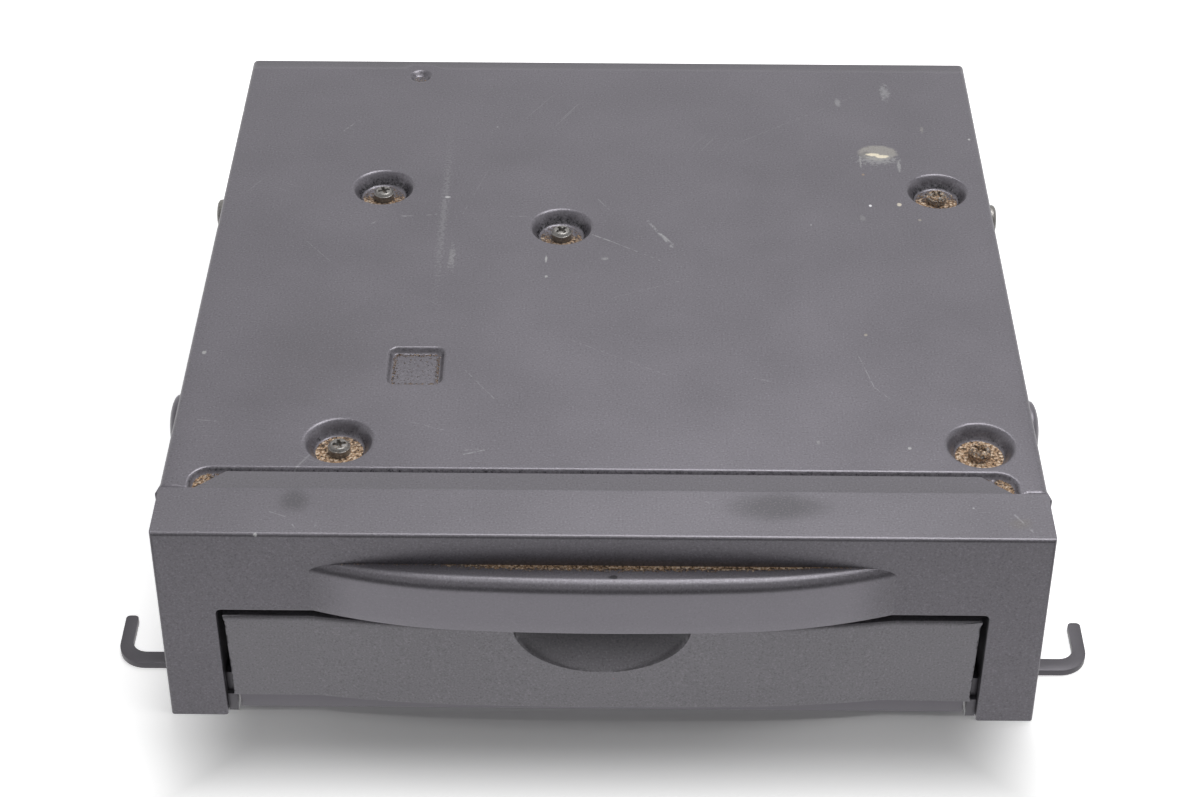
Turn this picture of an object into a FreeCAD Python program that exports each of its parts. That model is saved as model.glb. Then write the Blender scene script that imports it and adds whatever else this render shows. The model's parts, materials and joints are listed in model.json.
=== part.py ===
import FreeCAD
import Part
import Sketcher

import math
import os
from dataclasses import dataclass

# Car navigation disc reader: a single-bay steel case with a plastic bezel, a flip-down door with a finger
# scoop, and a sprung slot-loading drive behind it.
# Millimetres. Origin at the middle of the case's bottom face, +Z up, the front faces -Y.

SIZES = {
    # Case
    "case_width": 178.0,
    "case_height": 50.0,
    "case_depth": 178.6,
    "sheet": 1.0,
    "fold_radius": 1.4,
    "plate": 1.5,
    "flange_sheet": 1.2,
    "flange_drop": 2.8,
    "flange_start": 27.0,
    "rear_sheet": 1.2,
    "seat_gap": 0.1,
    # Recesses pressed into the top
    "joggle_inset": 6.0,
    "joggle_reach": 20.2,
    "joggle_depth": 1.3,
    "joggle_corner": 4.0,
    "dimple_radius": 6.2,
    "dimple_floor_radius": 4.3,
    "dimple_depth": 3.0,
    "left_screw_inset": 36.0,
    "mid_screw_x": -10.2,
    "right_screw_inset": 12.0,
    "front_screw_y": 29.1,
    "mid_screw_y": 106.5,
    "rear_screw_y": 122.1,
    "pip_radius": 2.75,
    "pip_depth": 0.6,
    "pip_slope": 0.8,
    "pip_x": -46.5,
    "pip_inset": 6.8,
    "label_recess_x": -40.1,
    "label_recess_y": 54.35,
    "label_recess_width": 12.0,
    "label_recess_length": 12.9,
    "label_recess_depth": 1.2,
    "label_recess_corner": 1.2,
    # Top cover screws
    "screw_head_radius": 2.3,
    "screw_head_height": 2.3,
    "screw_head_edge": 0.5,
    "screw_shank_radius": 1.3,
    "screw_length": 5.0,
    "recess_arm": 1.35,
    "recess_width": 0.5,
    "recess_depth": 1.2,
    "screw_clearance": 0.15,
    # Side screws and side guide studs
    "side_screw_y": 118.6,
    "side_screw_drop": 5.6,
    "side_head_radius": 3.5,
    "side_head_height": 1.7,
    "side_head_edge": 0.8,
    "side_shank_radius": 1.5,
    "side_shank_length": 4.0,
    "stud_y": 44.0,
    "stud_drop": 8.4,
    "stud_radius": 6.5,
    "stud_height": 2.4,
    "stud_rim": 0.6,
    "stud_shank_radius": 2.0,
    # Hooks on the bottom plate
    "hook_reach": 13.9,
    "hook_front": 13.4,
    "hook_band": 3.5,
    "hook_finger": 2.7,
    "hook_length": 14.6,
    "hook_bend": 6.0,
    "hook_tip": 0.9,
    # Bezel
    "bezel_depth": 14.0,
    "bezel_inset": 0.1,
    "bezel_flare": 0.4,
    "bezel_wall": 2.5,
    "bezel_edge": 0.7,
    "leg_width": 11.4,
    "window_top": 29.5,
    "window_corner": 1.0,
    "lip": 2.0,
    "tongue_reach": 19.3,
    "tongue_inset": 7.0,
    "tongue_chamfer": 6.0,
    "tongue_thickness": 1.2,
    "brow_bottom": 29.8,
    "brow_ledge": 42.5,
    "brow_reach": 6.25,
    "brow_half_width": 58.4,
    "brow_mid_half": 28.0,
    "brow_mid_reach": 5.5,
    "brow_root": 4.0,
    "brow_edge": 3.0,
    "snap_start": 15.4,
    "snap_length": 6.6,
    "snap_height": 6.0,
    "snap_drop": 9.4,
    "snap_proud": 1.4,
    "snap_arm": 1.6,
    "snap_tail": 1.0,
    "snap_lead": 0.6,
    # Lower rail with the hinge blocks
    "rail_front": 11.0,
    "rail_height": 4.0,
    "block_width": 2.0,
    "block_front": 1.4,
    "block_step_height": 4.7,
    "block_top": 9.6,
    "block_step_y": 2.7,
    # Door
    "hinge_y": 4.4,
    "hinge_z": 6.6,
    "door_gap": 2.0,
    "door_lean": 0.4,
    "door_bottom": 4.8,
    "door_top": 27.0,
    "door_face": 1.0,
    "door_back": 3.0,
    "door_bulge": 2.9,
    "door_bulge_half": 59.0,
    "door_mid_half": 28.0,
    "door_mid_bulge": 2.53,
    "door_chamfer": 0.8,
    "scoop_half_width": 17.9,
    "scoop_height": 12.0,
    "scoop_depth": 3.9,
    "carrier_sheet": 1.2,
    "carrier_inset": 0.2,
    "carrier_drop": 1.0,
    "tail_front": 2.1,
    "tail_thickness": 1.4,
    "tail_bottom": 0.5,
    "barrel_radius": 1.35,
    "barrel_length": 7.0,
    "pin_radius": 0.8,
    "pin_clearance": 0.05,
    # Inner fascia behind the door
    "fascia_front": 11.0,
    "fascia_sheet": 2.0,
    "fascia_bottom": 4.9,
    "fascia_top": 33.0,
    "fascia_gap": 0.3,
    "fascia_tab": 6.0,
    "fascia_tab_sheet": 1.5,
    "fascia_tab_reach": 3.0,
    "slot_half_width": 63.0,
    "slot_bottom": 21.4,
    "slot_top": 28.6,
    "slot_corner": 1.0,
    "lip_pad": 1.1,
    "magnet_inset": 7.3,
    "magnet_gap": 0.3,
    "magnet_z": 23.4,
    "magnet_width": 5.0,
    "magnet_height": 4.0,
    "magnet_length": 3.0,
    "button_x": 58.0,
    "button_z": 12.4,
    "button_width": 11.0,
    "button_height": 5.0,
    "button_proud": 1.8,
    "button_travel": 1.2,
    "button_flange": 1.0,
    "button_rim": 1.0,
    "button_edge": 0.5,
    "button_gap": 0.2,
    "lens_x": 44.0,
    "lens_width": 5.0,
    "lens_height": 1.8,
    "button_board_gap": 4.4,
    "board_sheet": 1.2,
    "button_board_half": 4.5,
    "button_board_left": 5.0,
    "button_board_right": 10.0,
    "spacer": 3.0,
    "switch_width": 6.0,
    "switch_gap": 0.2,
    "lamp_width": 3.0,
    "lamp_height": 1.6,
    "lamp_gap": 0.5,
    # Drive position
    "disc_plane": 23.0,
    "spindle_y": 88.0,
    # Drive carrier hung from the top screws
    "hanger_left_edge": 2.0,
    "hanger_right_inset": 6.5,
    "hanger_front": 23.0,
    "hanger_back": 130.0,
    "hanger_sheet": 1.2,
    "hanger_bar": 34.0,
    "hanger_front_bar": 13.0,
    "hanger_side_bar": 4.0,
    "hanger_screw_bar": 9.0,
    "ear_drop": 4.5,
    "ear_front": 8.0,
    "ear_back": 6.0,
    # Rubber mounts
    "bush_radius": 4.5,
    "bush_z": 27.5,
    "bush_front_y": 46.0,
    "bush_back_y": 110.0,
    "mount_length": 3.4,
    "damper_shank": 1.3,
    "damper_head": 2.6,
    "damper_head_height": 1.4,
    "damper_end": 0.8,
    # Deck
    "deck_half_width": 66.6,
    "deck_front": 19.2,
    "deck_back_gap": 17.6,
    "deck_sheet": 1.2,
    "deck_plate_z": 12.5,
    "deck_wall_top": 33.0,
    "apron_drop": 17.0,
    "apron_front": 12.0,
    "apron_back": 7.0,
    "notch_front": 1.0,
    "notch_back": 8.0,
    "notch_side": 2.4,
    "window_margin": 6.0,
    "window_side": 5.0,
    "motor_margin": 1.0,
    "hub_hole": 4.2,
    "ear_half": 4.0,
    "ear_rise": 4.5,
    "ear_gap": 2.4,
    "ear_right": 12.0,
    "ear_left": 4.0,
    # Disc guide
    "guide_z": 28.9,
    "guide_back": 42.0,
    "guide_sheet": 1.6,
    "guide_rib": 1.2,
    "guide_rib_height": 1.8,
    "guide_rib_pitch": 20.0,
    "guide_rib_inset": 3.0,
    # Loading roller and its gears
    "roller_y": 24.0,
    "roller_radius": 4.0,
    "roller_waist": 3.3,
    "roller_end_gap": 9.6,
    "roller_shaft_end": 1.0,
    "bearing_wall": 1.2,
    "bearing_proud": 0.6,
    "roller_gap": 5.0,
    "roller_shaft": 1.5,
    "gear_gap": 0.8,
    "gear_width": 2.4,
    "gear_module": 0.6,
    "idler_y": 34.2,
    "pinion_y": 43.4,
    "loader_radius": 6.0,
    "loader_length": 15.0,
    "loader_nose": 2.0,
    "loader_bore": 4.0,
    "bracket_gap": 0.4,
    "bracket_sheet": 0.8,
    "bracket_foot": 5.0,
    "bracket_width": 9.0,
    "pin_end": 0.6,
    "shaft_end": 0.2,
    "shaft_gap": 0.4,
    # Spindle
    "spindle_motor_radius": 14.0,
    "spindle_motor_bottom": 8.8,
    "spindle_boss": 3.6,
    "spindle_boss_height": 1.5,
    "spindle_shaft": 1.0,
    "spindle_floor": 1.0,
    "spindle_end_gap": 0.2,
    "table_radius": 13.0,
    "table_thickness": 2.0,
    "hub_radius": 7.3,
    "hub_height": 1.2,
    "hub_slope": 0.9,
    # Clamp
    "clamp_hinge_gap": 10.0,
    "clamp_plate_z": 29.0,
    "clamp_sheet": 1.2,
    "clamp_half_width": 19.0,
    "clamp_ear_x": 24.0,
    "clamp_nose": 10.0,
    "clamp_nose_corner": 8.0,
    "clamp_nose_cut": 6.0,
    "clamp_flare_start": 20.0,
    "clamp_flare_end": 12.0,
    "clamp_barrel_wall": 1.1,
    "clamp_hole_gap": 0.8,
    "clamper_radius": 13.5,
    "clamper_gap": 1.3,
    "clamper_neck": 4.5,
    "clamper_cap": 7.0,
    "clamper_disc": 2.2,
    "clamper_lift": 0.3,
    "clamper_cap_height": 1.4,
    "clamp_pin_radius": 1.0,
    "clamp_pin_end": 0.5,
    # Pickup
    "rod_x": 21.0,
    "rod_z": 15.6,
    "rod_radius": 1.5,
    "rod_front": 100.0,
    "rod_back_gap": 2.0,
    "rod_block": 4.6,
    "rod_block_half": 3.0,
    "rod_cover": 1.2,
    "sled_front": 105.0,
    "sled_length": 15.5,
    "sled_bottom": 10.6,
    "sled_top": 18.6,
    "sled_left": 3.4,
    "sled_right": 3.2,
    "sled_head_width": 14.0,
    "sled_head_length": 12.0,
    "sled_head_drop": 2.6,
    "sled_overlap": 0.5,
    "lens_radius": 2.6,
    "lens_rim": 0.5,
    "lens_crown": 0.6,
    "lens_crown_radius": 1.6,
    "screw_x": 31.0,
    "lead_radius": 1.5,
    "sled_motor_radius": 5.0,
    "sled_motor_front": 76.0,
    "sled_motor_length": 20.0,
    "sled_motor_bore": 3.0,
    "saddle_width": 6.0,
    "saddle_inset": 3.0,
    "saddle_sheet": 1.2,
    "screw_end_gap": 0.2,
    "running_gap": 0.08,
    # Main board and connectors
    "board_inset": 9.0,
    "board_front": 62.0,
    "board_back_gap": 7.6,
    "board_z": 4.6,
    "board_thickness": 1.6,
    "standoff_radius": 2.8,
    "board_hole": 1.35,
    "board_hole_inset": 5.0,
    "board_screw_gap": 0.1,
    "board_screw_head": 1.6,
    "board_screw_end": 0.4,
    "chip_height": 1.6,
    "large_chip": 26.0,
    "large_chip_x": -40.0,
    "large_chip_y": 118.0,
    "medium_chip": 18.0,
    "medium_chip_x": 50.0,
    "medium_chip_y": 108.0,
    "long_chip": 20.0,
    "long_chip_depth": 10.0,
    "long_chip_x": -4.0,
    "long_chip_y": 128.0,
    "can_radius": 4.0,
    "can_height": 5.4,
    "can_inset": 14.0,
    "can_pitch": 10.0,
    "can_back": 21.0,
    "can_row": 12.0,
    "harness_x": -42.0,
    "harness_width": 52.0,
    "harness_height": 13.0,
    "harness_proud": 3.0,
    "harness_depth": 11.0,
    "harness_wall": 1.4,
    "connector_floor": 2.0,
    "contact": 1.0,
    "contact_inset": 4.0,
    "harness_pitch": 5.0,
    "harness_row": 3.9,
    "display_x": 20.0,
    "display_width": 26.0,
    "display_height": 9.0,
    "display_wall": 1.2,
    "display_pitch": 3.4,
    "display_contact": 0.8,
    "aerial_x": 56.0,
    "aerial_radius": 3.2,
    "aerial_proud": 6.0,
    "aerial_rise": 1.0,
    "aerial_block": 6.0,
    "aerial_block_half": 4.5,
    "aerial_block_top": 4.0,
    "aerial_bore": 2.2,
    "aerial_bore_depth": 5.0,
    "bush_hole_x": 0.0,
    "support_z": 33.0,
    "support_radius": 5.0,
    "support_core": 2.1,
    "support_length": 7.0,
    "support_wall": 1.0,
    "support_flange": 2.5,
    "vent_length": 16.0,
    "vent_width": 2.4,
    "vent_pitch": 5.0,
    "vent_inset": 12.0,
    "vent_count": 4,
    "ribbon_half": 11.0,
    "ribbon_sheet": 0.2,
    "ribbon_socket_height": 2.0,
    "ribbon_socket_half": 12.0,
    "ribbon_socket_depth": 3.0,
    "ribbon_inset": 2.0,
    "ribbon_reach": 10.0,
}


class Size:
    """A number together with the sheet expression that gives it, so that arithmetic keeps the link."""

    def __init__(self, value, text):
        self.value = float(value)
        self.text = text

    @staticmethod
    def of(other):
        """Return `other` as a Size, wrapping a plain number."""
        if isinstance(other, Size):
            return other
        return Size(other, "(%.6f)" % other)

    def _join(self, other, value, sign):
        other = Size.of(other)
        return Size(value, "(%s %s %s)" % (self.text, sign, other.text))

    def __add__(self, other):
        return self._join(other, self.value + Size.of(other).value, "+")

    def __sub__(self, other):
        return self._join(other, self.value - Size.of(other).value, "-")

    def __mul__(self, other):
        return self._join(other, self.value * Size.of(other).value, "*")

    def __truediv__(self, other):
        return self._join(other, self.value / Size.of(other).value, "/")

    def __radd__(self, other):
        return Size.of(other) + self

    def __rsub__(self, other):
        return Size.of(other) - self

    def __rmul__(self, other):
        return Size.of(other) * self

    def __neg__(self):
        return Size(-self.value, "(0 - %s)" % self.text)


def root(size):
    """Square root of a Size."""
    return Size(math.sqrt(size.value), "sqrt(%s)" % size.text)


def arc_through(half_chord, rise):
    """Radius of the arc that rises by `rise` over a chord of twice `half_chord`."""
    return (half_chord * half_chord + rise * rise) / (2 * rise)


@dataclass(frozen=True)
class Arc:
    """Marks the stretch between two points of an outline as an arc."""

    radius: Size
    turn: int


class Dimensions:
    """The driving dimensions, as a spreadsheet and as Sizes read by name."""

    def __init__(self, document, sizes):
        sheet = document.addObject("Spreadsheet::Sheet", "dims")
        for row, (name, value) in enumerate(sizes.items(), start=1):
            sheet.set("A%d" % row, name)
            sheet.set("B%d" % row, str(value))
            sheet.setAlias("B%d" % row, name)
            setattr(self, name, Size(value, "dims.%s" % name))


def rect(x0, y0, x1, y1, corner=None):
    """Rectangle between two corners, with rounded corners where `corner` is given."""
    spots = [(x0, y0), (x1, y0), (x1, y1), (x0, y1)]
    if corner is None:
        return spots
    return rounded(spots, [corner] * 4)


def centred(x, y, width, height, corner=None):
    """Rectangle of a given size round a centre."""
    return rect(x - width / 2, y - height / 2, x + width / 2, y + height / 2, corner)


def circle(x, y, radius):
    """A full circle."""
    return ("circle", Size.of(x), Size.of(y), Size.of(radius))


def flats(x, y, half, sides):
    """A regular outline with an even number of sides, each `half` away from the centre."""
    x, y = Size.of(x), Size.of(y)
    corner = Size.of(half) / math.cos(math.pi / sides)
    turns = [math.pi * (2 * index + 1) / sides for index in range(sides)]
    return [(x + corner * math.cos(turn), y + corner * math.sin(turn)) for turn in turns]


def both_sides(low, high):
    """The two spans, from the lower end up, that a span and its mirror image cover."""
    return [(-high, -low), (low, high)]


def rounded(spots, corners):
    """Round the square corners of an outline whose sides run along the two axes."""
    spots = [(Size.of(x), Size.of(y)) for x, y in spots]
    outline = []
    count = len(spots)
    for index, (x, y) in enumerate(spots):
        radius = corners[index]
        if not radius:
            outline.append((x, y))
            continue
        before = spots[index - 1]
        after = spots[(index + 1) % count]
        back = (step(before[0] - x), step(before[1] - y))
        ahead = (step(after[0] - x), step(after[1] - y))
        turn = 1 if back[1] * ahead[0] - back[0] * ahead[1] > 0 else -1
        outline.append((x + radius * back[0], y + radius * back[1]))
        outline.append(Arc(Size.of(radius), turn))
        outline.append((x + radius * ahead[0], y + radius * ahead[1]))
    return outline


def step(size):
    """Direction of a length along its axis: -1, 0 or 1."""
    if abs(size.value) < 1e-6:
        return 0
    return 1 if size.value > 0 else -1


def mirrored(outline):
    """The same outline on the other side of the middle plane."""
    if isinstance(outline, tuple) and outline[0] == "circle":
        return circle(-outline[1], outline[2], outline[3])
    flipped = []
    for item in outline:
        if isinstance(item, Arc):
            flipped.append(Arc(item.radius, -item.turn))
        else:
            flipped.append((-Size.of(item[0]), item[1]))
    return flipped


def pair(outline):
    """An outline and its mirror image."""
    return [outline, mirrored(outline)]


class Piece:
    """One sub-part: a body whose features are all bound to the sheet."""

    PLANES = {"XY": ("XY_Plane", 1), "XZ": ("XZ_Plane", -1), "YZ": ("YZ_Plane", 1)}

    def __init__(self, document, label, origin=(0, 0, 0), turn=None):
        self.document = document
        self.body = document.addObject("PartDesign::Body", label)
        self.body.Label = label
        if turn is not None:
            self.body.Placement = FreeCAD.Placement(FreeCAD.Vector(), turn)
        for axis, size in zip("xyz", origin):
            bind(self.body, "Placement.Base.%s" % axis, size)
        self.count = 0

    def sketch(self, outlines, plane, at):
        """Draw closed outlines on a plane parallel to one of the body's own."""
        role, sign = self.PLANES[plane]
        self.count += 1
        sketch = self.body.newObject("Sketcher::SketchObject", "%s_sketch_%d" % (self.body.Name, self.count))
        support = [item for item in self.body.Origin.OriginFeatures if item.Role == role][0]
        sketch.AttachmentSupport = (support, [""])
        sketch.MapMode = "FlatFace"
        bind(sketch, "AttachmentOffset.Base.z", Size.of(at) * sign)
        for outline in outlines:
            draw(sketch, outline)
        return sketch

    def feature(self, kind, sketch):
        name = "%s_%s_%d" % (self.body.Name, kind, self.count)
        feature = self.body.newObject("PartDesign::%s" % kind, name)
        feature.Profile = sketch
        return feature

    def add(self, plane, low, high, *outlines, taper=0):
        """Extrude outlines from `low` to `high` along the plane's normal axis."""
        pad = self.feature("Pad", self.sketch(outlines, plane, low))
        bind(pad, "Length", Size.of(high) - low)
        pad.Reversed = plane == "XZ"
        pad.TaperAngle = taper
        return pad

    def cut(self, plane, low, high, *outlines):
        """Cut outlines out from `low` to `high` along the plane's normal axis."""
        pocket = self.feature("Pocket", self.sketch(outlines, plane, low))
        bind(pocket, "Length", Size.of(high) - low)
        pocket.Reversed = plane != "XZ"
        return pocket

    def cone_cut(self, low, high, low_radius, high_radius, spots):
        """Cut round cones, one at each spot."""
        outlines = [circle(x, y, low_radius) for x, y in spots]
        return self.cone("Pocket", low, high, low_radius, high_radius, outlines)

    def cone_add(self, low, high, low_radius, high_radius, spots, sides):
        """Add cones with flat sides, one at each spot."""
        outlines = [flats(x, y, low_radius, sides) for x, y in spots]
        return self.cone("Pad", low, high, low_radius, high_radius, outlines)

    def cone(self, kind, low, high, low_radius, high_radius, outlines):
        feature = self.feature(kind, self.sketch(outlines, "XY", low))
        bind(feature, "Length", Size.of(high) - low)
        feature.Reversed = kind == "Pocket"
        spread = (high_radius - low_radius) / (Size.of(high) - low)
        bind(feature, "TaperAngle", Size(math.degrees(math.atan(spread.value)), "atan(%s)" % spread.text))
        return feature

    def fillet(self, radius, wanted, kind="Fillet"):
        """Round (or chamfer) the edges of the tip that `wanted` picks."""
        self.document.recompute()
        tip = self.body.Tip
        names = ["Edge%d" % i for i, edge in enumerate(tip.Shape.Edges, start=1) if wanted(edge)]
        if not names:
            raise RuntimeError("no edge to round on %s" % self.body.Label)
        name = "%s_%s_%d" % (self.body.Name, kind, self.count)
        feature = self.body.newObject("PartDesign::%s" % kind, name)
        feature.Base = (tip, names)
        bind(feature, "Radius" if kind == "Fillet" else "Size", radius)
        return feature


def bind(thing, name, size):
    """Tie a property to the sheet."""
    thing.setExpression(name, Size.of(size).text)


def draw(sketch, outline):
    """Draw one closed outline and tie every point and radius of it to the sheet."""
    if isinstance(outline, tuple) and outline[0] == "circle":
        _, x, y, radius = outline
        ring = Part.Circle(FreeCAD.Vector(x.value, y.value, 0), FreeCAD.Vector(0, 0, 1), radius.value)
        index = sketch.addGeometry(ring)
        hold(sketch, index, 3, x, y)
        measure(sketch, Sketcher.Constraint("Radius", index, radius.value), radius)
        return
    spots = [(Size.of(i[0]), Size.of(i[1])) for i in outline if not isinstance(i, Arc)]
    arcs = {}
    seen = 0
    for item in outline:
        if isinstance(item, Arc):
            arcs[seen - 1] = item
        else:
            seen += 1
    sides = []
    for index, start in enumerate(spots):
        end = spots[(index + 1) % len(spots)]
        sides.append(draw_side(sketch, start, end, arcs.get(index)))
    for index, (geometry, head, tail) in enumerate(sides):
        following, next_head, _ = sides[(index + 1) % len(sides)]
        sketch.addConstraint(Sketcher.Constraint("Coincident", geometry, tail, following, next_head))
        hold(sketch, geometry, head, *spots[index])
        if index in arcs:
            radius = arcs[index].radius
            measure(sketch, Sketcher.Constraint("Radius", geometry, radius.value), radius)


def draw_side(sketch, start, end, arc):
    """Add one side and return its index and which of its ends come first and last."""
    a = FreeCAD.Vector(start[0].value, start[1].value, 0)
    b = FreeCAD.Vector(end[0].value, end[1].value, 0)
    if arc is None:
        return sketch.addGeometry(Part.LineSegment(a, b)), 1, 2
    middle = (a + b) * 0.5
    half = (b - a) * 0.5
    height = math.sqrt(max(arc.radius.value ** 2 - half.Length ** 2, 0.0))
    left = FreeCAD.Vector(-half.y, half.x, 0).normalize()
    centre = middle + left * (height * arc.turn)
    ring = Part.Circle(centre, FreeCAD.Vector(0, 0, 1), arc.radius.value)
    low, high = (a, b) if arc.turn > 0 else (b, a)
    begin = math.atan2(low.y - centre.y, low.x - centre.x)
    finish = math.atan2(high.y - centre.y, high.x - centre.x)
    if finish <= begin:
        finish += 2 * math.pi
    index = sketch.addGeometry(Part.ArcOfCircle(ring, begin, finish))
    return (index, 1, 2) if arc.turn > 0 else (index, 2, 1)


def hold(sketch, geometry, point, x, y):
    """Hold a point at a place given from the sketch's origin."""
    measure(sketch, Sketcher.Constraint("DistanceX", -1, 1, geometry, point, x.value), x)
    measure(sketch, Sketcher.Constraint("DistanceY", -1, 1, geometry, point, y.value), y)


def measure(sketch, constraint, size):
    """Add a dimension to a sketch and tie it to the sheet."""
    sketch.setExpression("Constraints[%d]" % sketch.addConstraint(constraint), size.text)


doc = FreeCAD.newDocument("disc_reader")
d = Dimensions(doc, SIZES)
doc.recompute()

# Places that many pieces share. Depths in the sheet are counted back from the front plane.
FRONT = -d.case_depth / 2
BACK = d.case_depth / 2
TOP = d.case_height
SIDE = d.case_width / 2
INNER_SIDE = SIDE - d.sheet
UNDER_TOP = TOP - d.sheet
BEZEL_BACK = FRONT + d.bezel_depth
FLANGE_OUT = INNER_SIDE - d.seat_gap
FLANGE_IN = FLANGE_OUT - d.flange_sheet
DIMPLE_FLOOR = TOP - d.dimple_depth
HANGER_TOP = DIMPLE_FLOOR - d.sheet
HANGER_BOTTOM = HANGER_TOP - d.hanger_sheet
REAR_FRONT = BACK - d.rear_sheet
DECK_TOP = d.deck_plate_z + d.deck_sheet
SPINDLE_Y = FRONT + d.spindle_y
ROLLER_Y = FRONT + d.roller_y
ROLLER_Z = d.disc_plane - d.roller_radius
COVER_BOTTOM = d.plate + d.seat_gap
BEZEL_HALF_TOP = SIDE - d.bezel_inset
BEZEL_HALF_BOTTOM = SIDE + d.bezel_flare
WINDOW_HALF = SIDE - d.leg_width
SNAP_BOTTOM = TOP - d.snap_drop
RAIL_HALF = WINDOW_HALF - d.seat_gap
DOOR_HALF = WINDOW_HALF - d.door_gap
DOOR_HALF_BOTTOM = DOOR_HALF - d.door_lean
CARRIER_HALF = DOOR_HALF_BOTTOM - d.carrier_inset
CARRIER_BACK = FRONT + d.door_back + d.carrier_sheet
FASCIA_HALF = WINDOW_HALF - d.fascia_gap
MAGNET_X = FASCIA_HALF - d.magnet_inset
MAGNET_FRONT = CARRIER_BACK + d.magnet_gap
HANGER_WALL = d.deck_half_width + d.mount_length
DECK_BACK = BACK - d.deck_back_gap
CLAMP_HINGE_Y = DECK_BACK - d.clamp_hinge_gap
CLAMP_HINGE_Z = d.clamp_plate_z + d.clamp_sheet / 2
ROD_BACK = DECK_BACK - d.rod_back_gap
GEAR_X = -d.deck_half_width + d.deck_sheet + d.gear_gap
BRACKET_X = GEAR_X + d.gear_width + d.bracket_gap
MOTOR_X = BRACKET_X + d.bracket_sheet
BOARD_HALF = SIDE - d.board_inset
BOARD_FRONT = FRONT + d.board_front
BOARD_BACK = BACK - d.board_back_gap
BOARD_TOP = d.board_z + d.board_thickness
RIGHT_SCREW_X = SIDE - d.right_screw_inset
LEFT_SCREW_X = -(SIDE - d.left_screw_inset)

# Number of flats on small round parts, and of teeth on the gears.
HEX = 6
SMALL = 8
BORE = 12
ROUND = 16
LARGE = 24
ROLLER_TEETH = 20
IDLER_TEETH = 22
PINION_TEETH = 10

TOP_SCREWS = [
    (LEFT_SCREW_X, FRONT + d.front_screw_y),
    (RIGHT_SCREW_X, FRONT + d.front_screw_y),
    (LEFT_SCREW_X, FRONT + d.rear_screw_y),
    (RIGHT_SCREW_X, FRONT + d.rear_screw_y),
    (d.mid_screw_x, FRONT + d.mid_screw_y),
]

ALONG_X = FreeCAD.Rotation(FreeCAD.Vector(0, 1, 0), 90)


def spans(edge, axis, length):
    """Whether an edge runs along one axis for at least a length."""
    box = edge.BoundBox
    extents = {"x": box.XLength, "y": box.YLength, "z": box.ZLength}
    along = extents.pop(axis)
    return along >= length and max(extents.values()) < 1e-3


# Case


def make_top_cover():
    """Steel cover folded down both sides, pressed with screw dimples and a joggle for the bezel."""
    piece = Piece(doc, "top_cover")
    outer, inner = SIDE, INNER_SIDE
    fold = d.fold_radius
    wall = [(-outer, COVER_BOTTOM), (-inner, COVER_BOTTOM), (-inner, UNDER_TOP), (inner, UNDER_TOP),
            (inner, COVER_BOTTOM), (outer, COVER_BOTTOM), (outer, TOP), (-outer, TOP)]
    inside = fold - d.sheet
    piece.add("XZ", BEZEL_BACK, BACK, rounded(wall, [0, 0, inside, inside, 0, 0, fold, fold]))
    # Cups under the presses come first, then the presses are cut from above.
    joggle_back = FRONT + d.joggle_reach
    joggle_half = SIDE - d.joggle_inset
    wide = joggle_half + d.sheet
    piece.add("XY", TOP - d.joggle_depth - d.sheet, UNDER_TOP,
              rect(-wide, BEZEL_BACK, wide, joggle_back + d.sheet))
    label_x, label_y = d.label_recess_x, FRONT + d.label_recess_y
    grow = 2 * d.sheet
    piece.add("XY", TOP - d.label_recess_depth - d.sheet, UNDER_TOP,
              centred(label_x, label_y, d.label_recess_width + grow, d.label_recess_length + grow))
    cup = d.sheet / 2
    piece.cone_add(HANGER_TOP, UNDER_TOP, d.dimple_floor_radius + cup, d.dimple_radius + cup,
                   TOP_SCREWS, SMALL)
    piece.cut("XY", TOP - d.joggle_depth, TOP,
              rounded([(-joggle_half, BEZEL_BACK), (joggle_half, BEZEL_BACK),
                       (joggle_half, joggle_back), (-joggle_half, joggle_back)],
                      [0, 0, d.joggle_corner, d.joggle_corner]))
    piece.cut("XY", TOP - d.label_recess_depth, TOP,
              centred(label_x, label_y, d.label_recess_width, d.label_recess_length, d.label_recess_corner))
    piece.cone_cut(DIMPLE_FLOOR, TOP, d.dimple_floor_radius, d.dimple_radius, TOP_SCREWS)
    pip = (d.pip_x, BACK - d.pip_inset)
    piece.cone_cut(TOP - d.pip_depth, TOP, d.pip_radius - d.pip_slope, d.pip_radius, [pip])
    piece.cut("XY", HANGER_TOP, DIMPLE_FLOOR, *top_screws(d.screw_shank_radius + d.screw_clearance, SMALL))
    # Side windows for the bezel's snaps, and the side screw and stud holes.
    gap = d.seat_gap * 3
    window = rect(FRONT + d.snap_start - gap, SNAP_BOTTOM - gap,
                  FRONT + d.snap_start + d.snap_length + gap, SNAP_BOTTOM + d.snap_height + gap)
    piece.cut("YZ", -outer, outer, window, *side_holes())


def top_screws(half, sides):
    """Outlines at the top cover's five screws, seen from above."""
    return [flats(x, y, half, sides) for x, y in TOP_SCREWS]


def side_holes():
    """Outlines of the side screw's and the guide stud's holes, seen from the side."""
    gap = d.screw_clearance
    screw = flats(FRONT + d.side_screw_y, TOP - d.side_screw_drop, d.side_shank_radius + gap, SMALL)
    stud = flats(FRONT + d.stud_y, TOP - d.stud_drop, d.stud_shank_radius + gap, SMALL)
    return [screw, stud]


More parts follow.
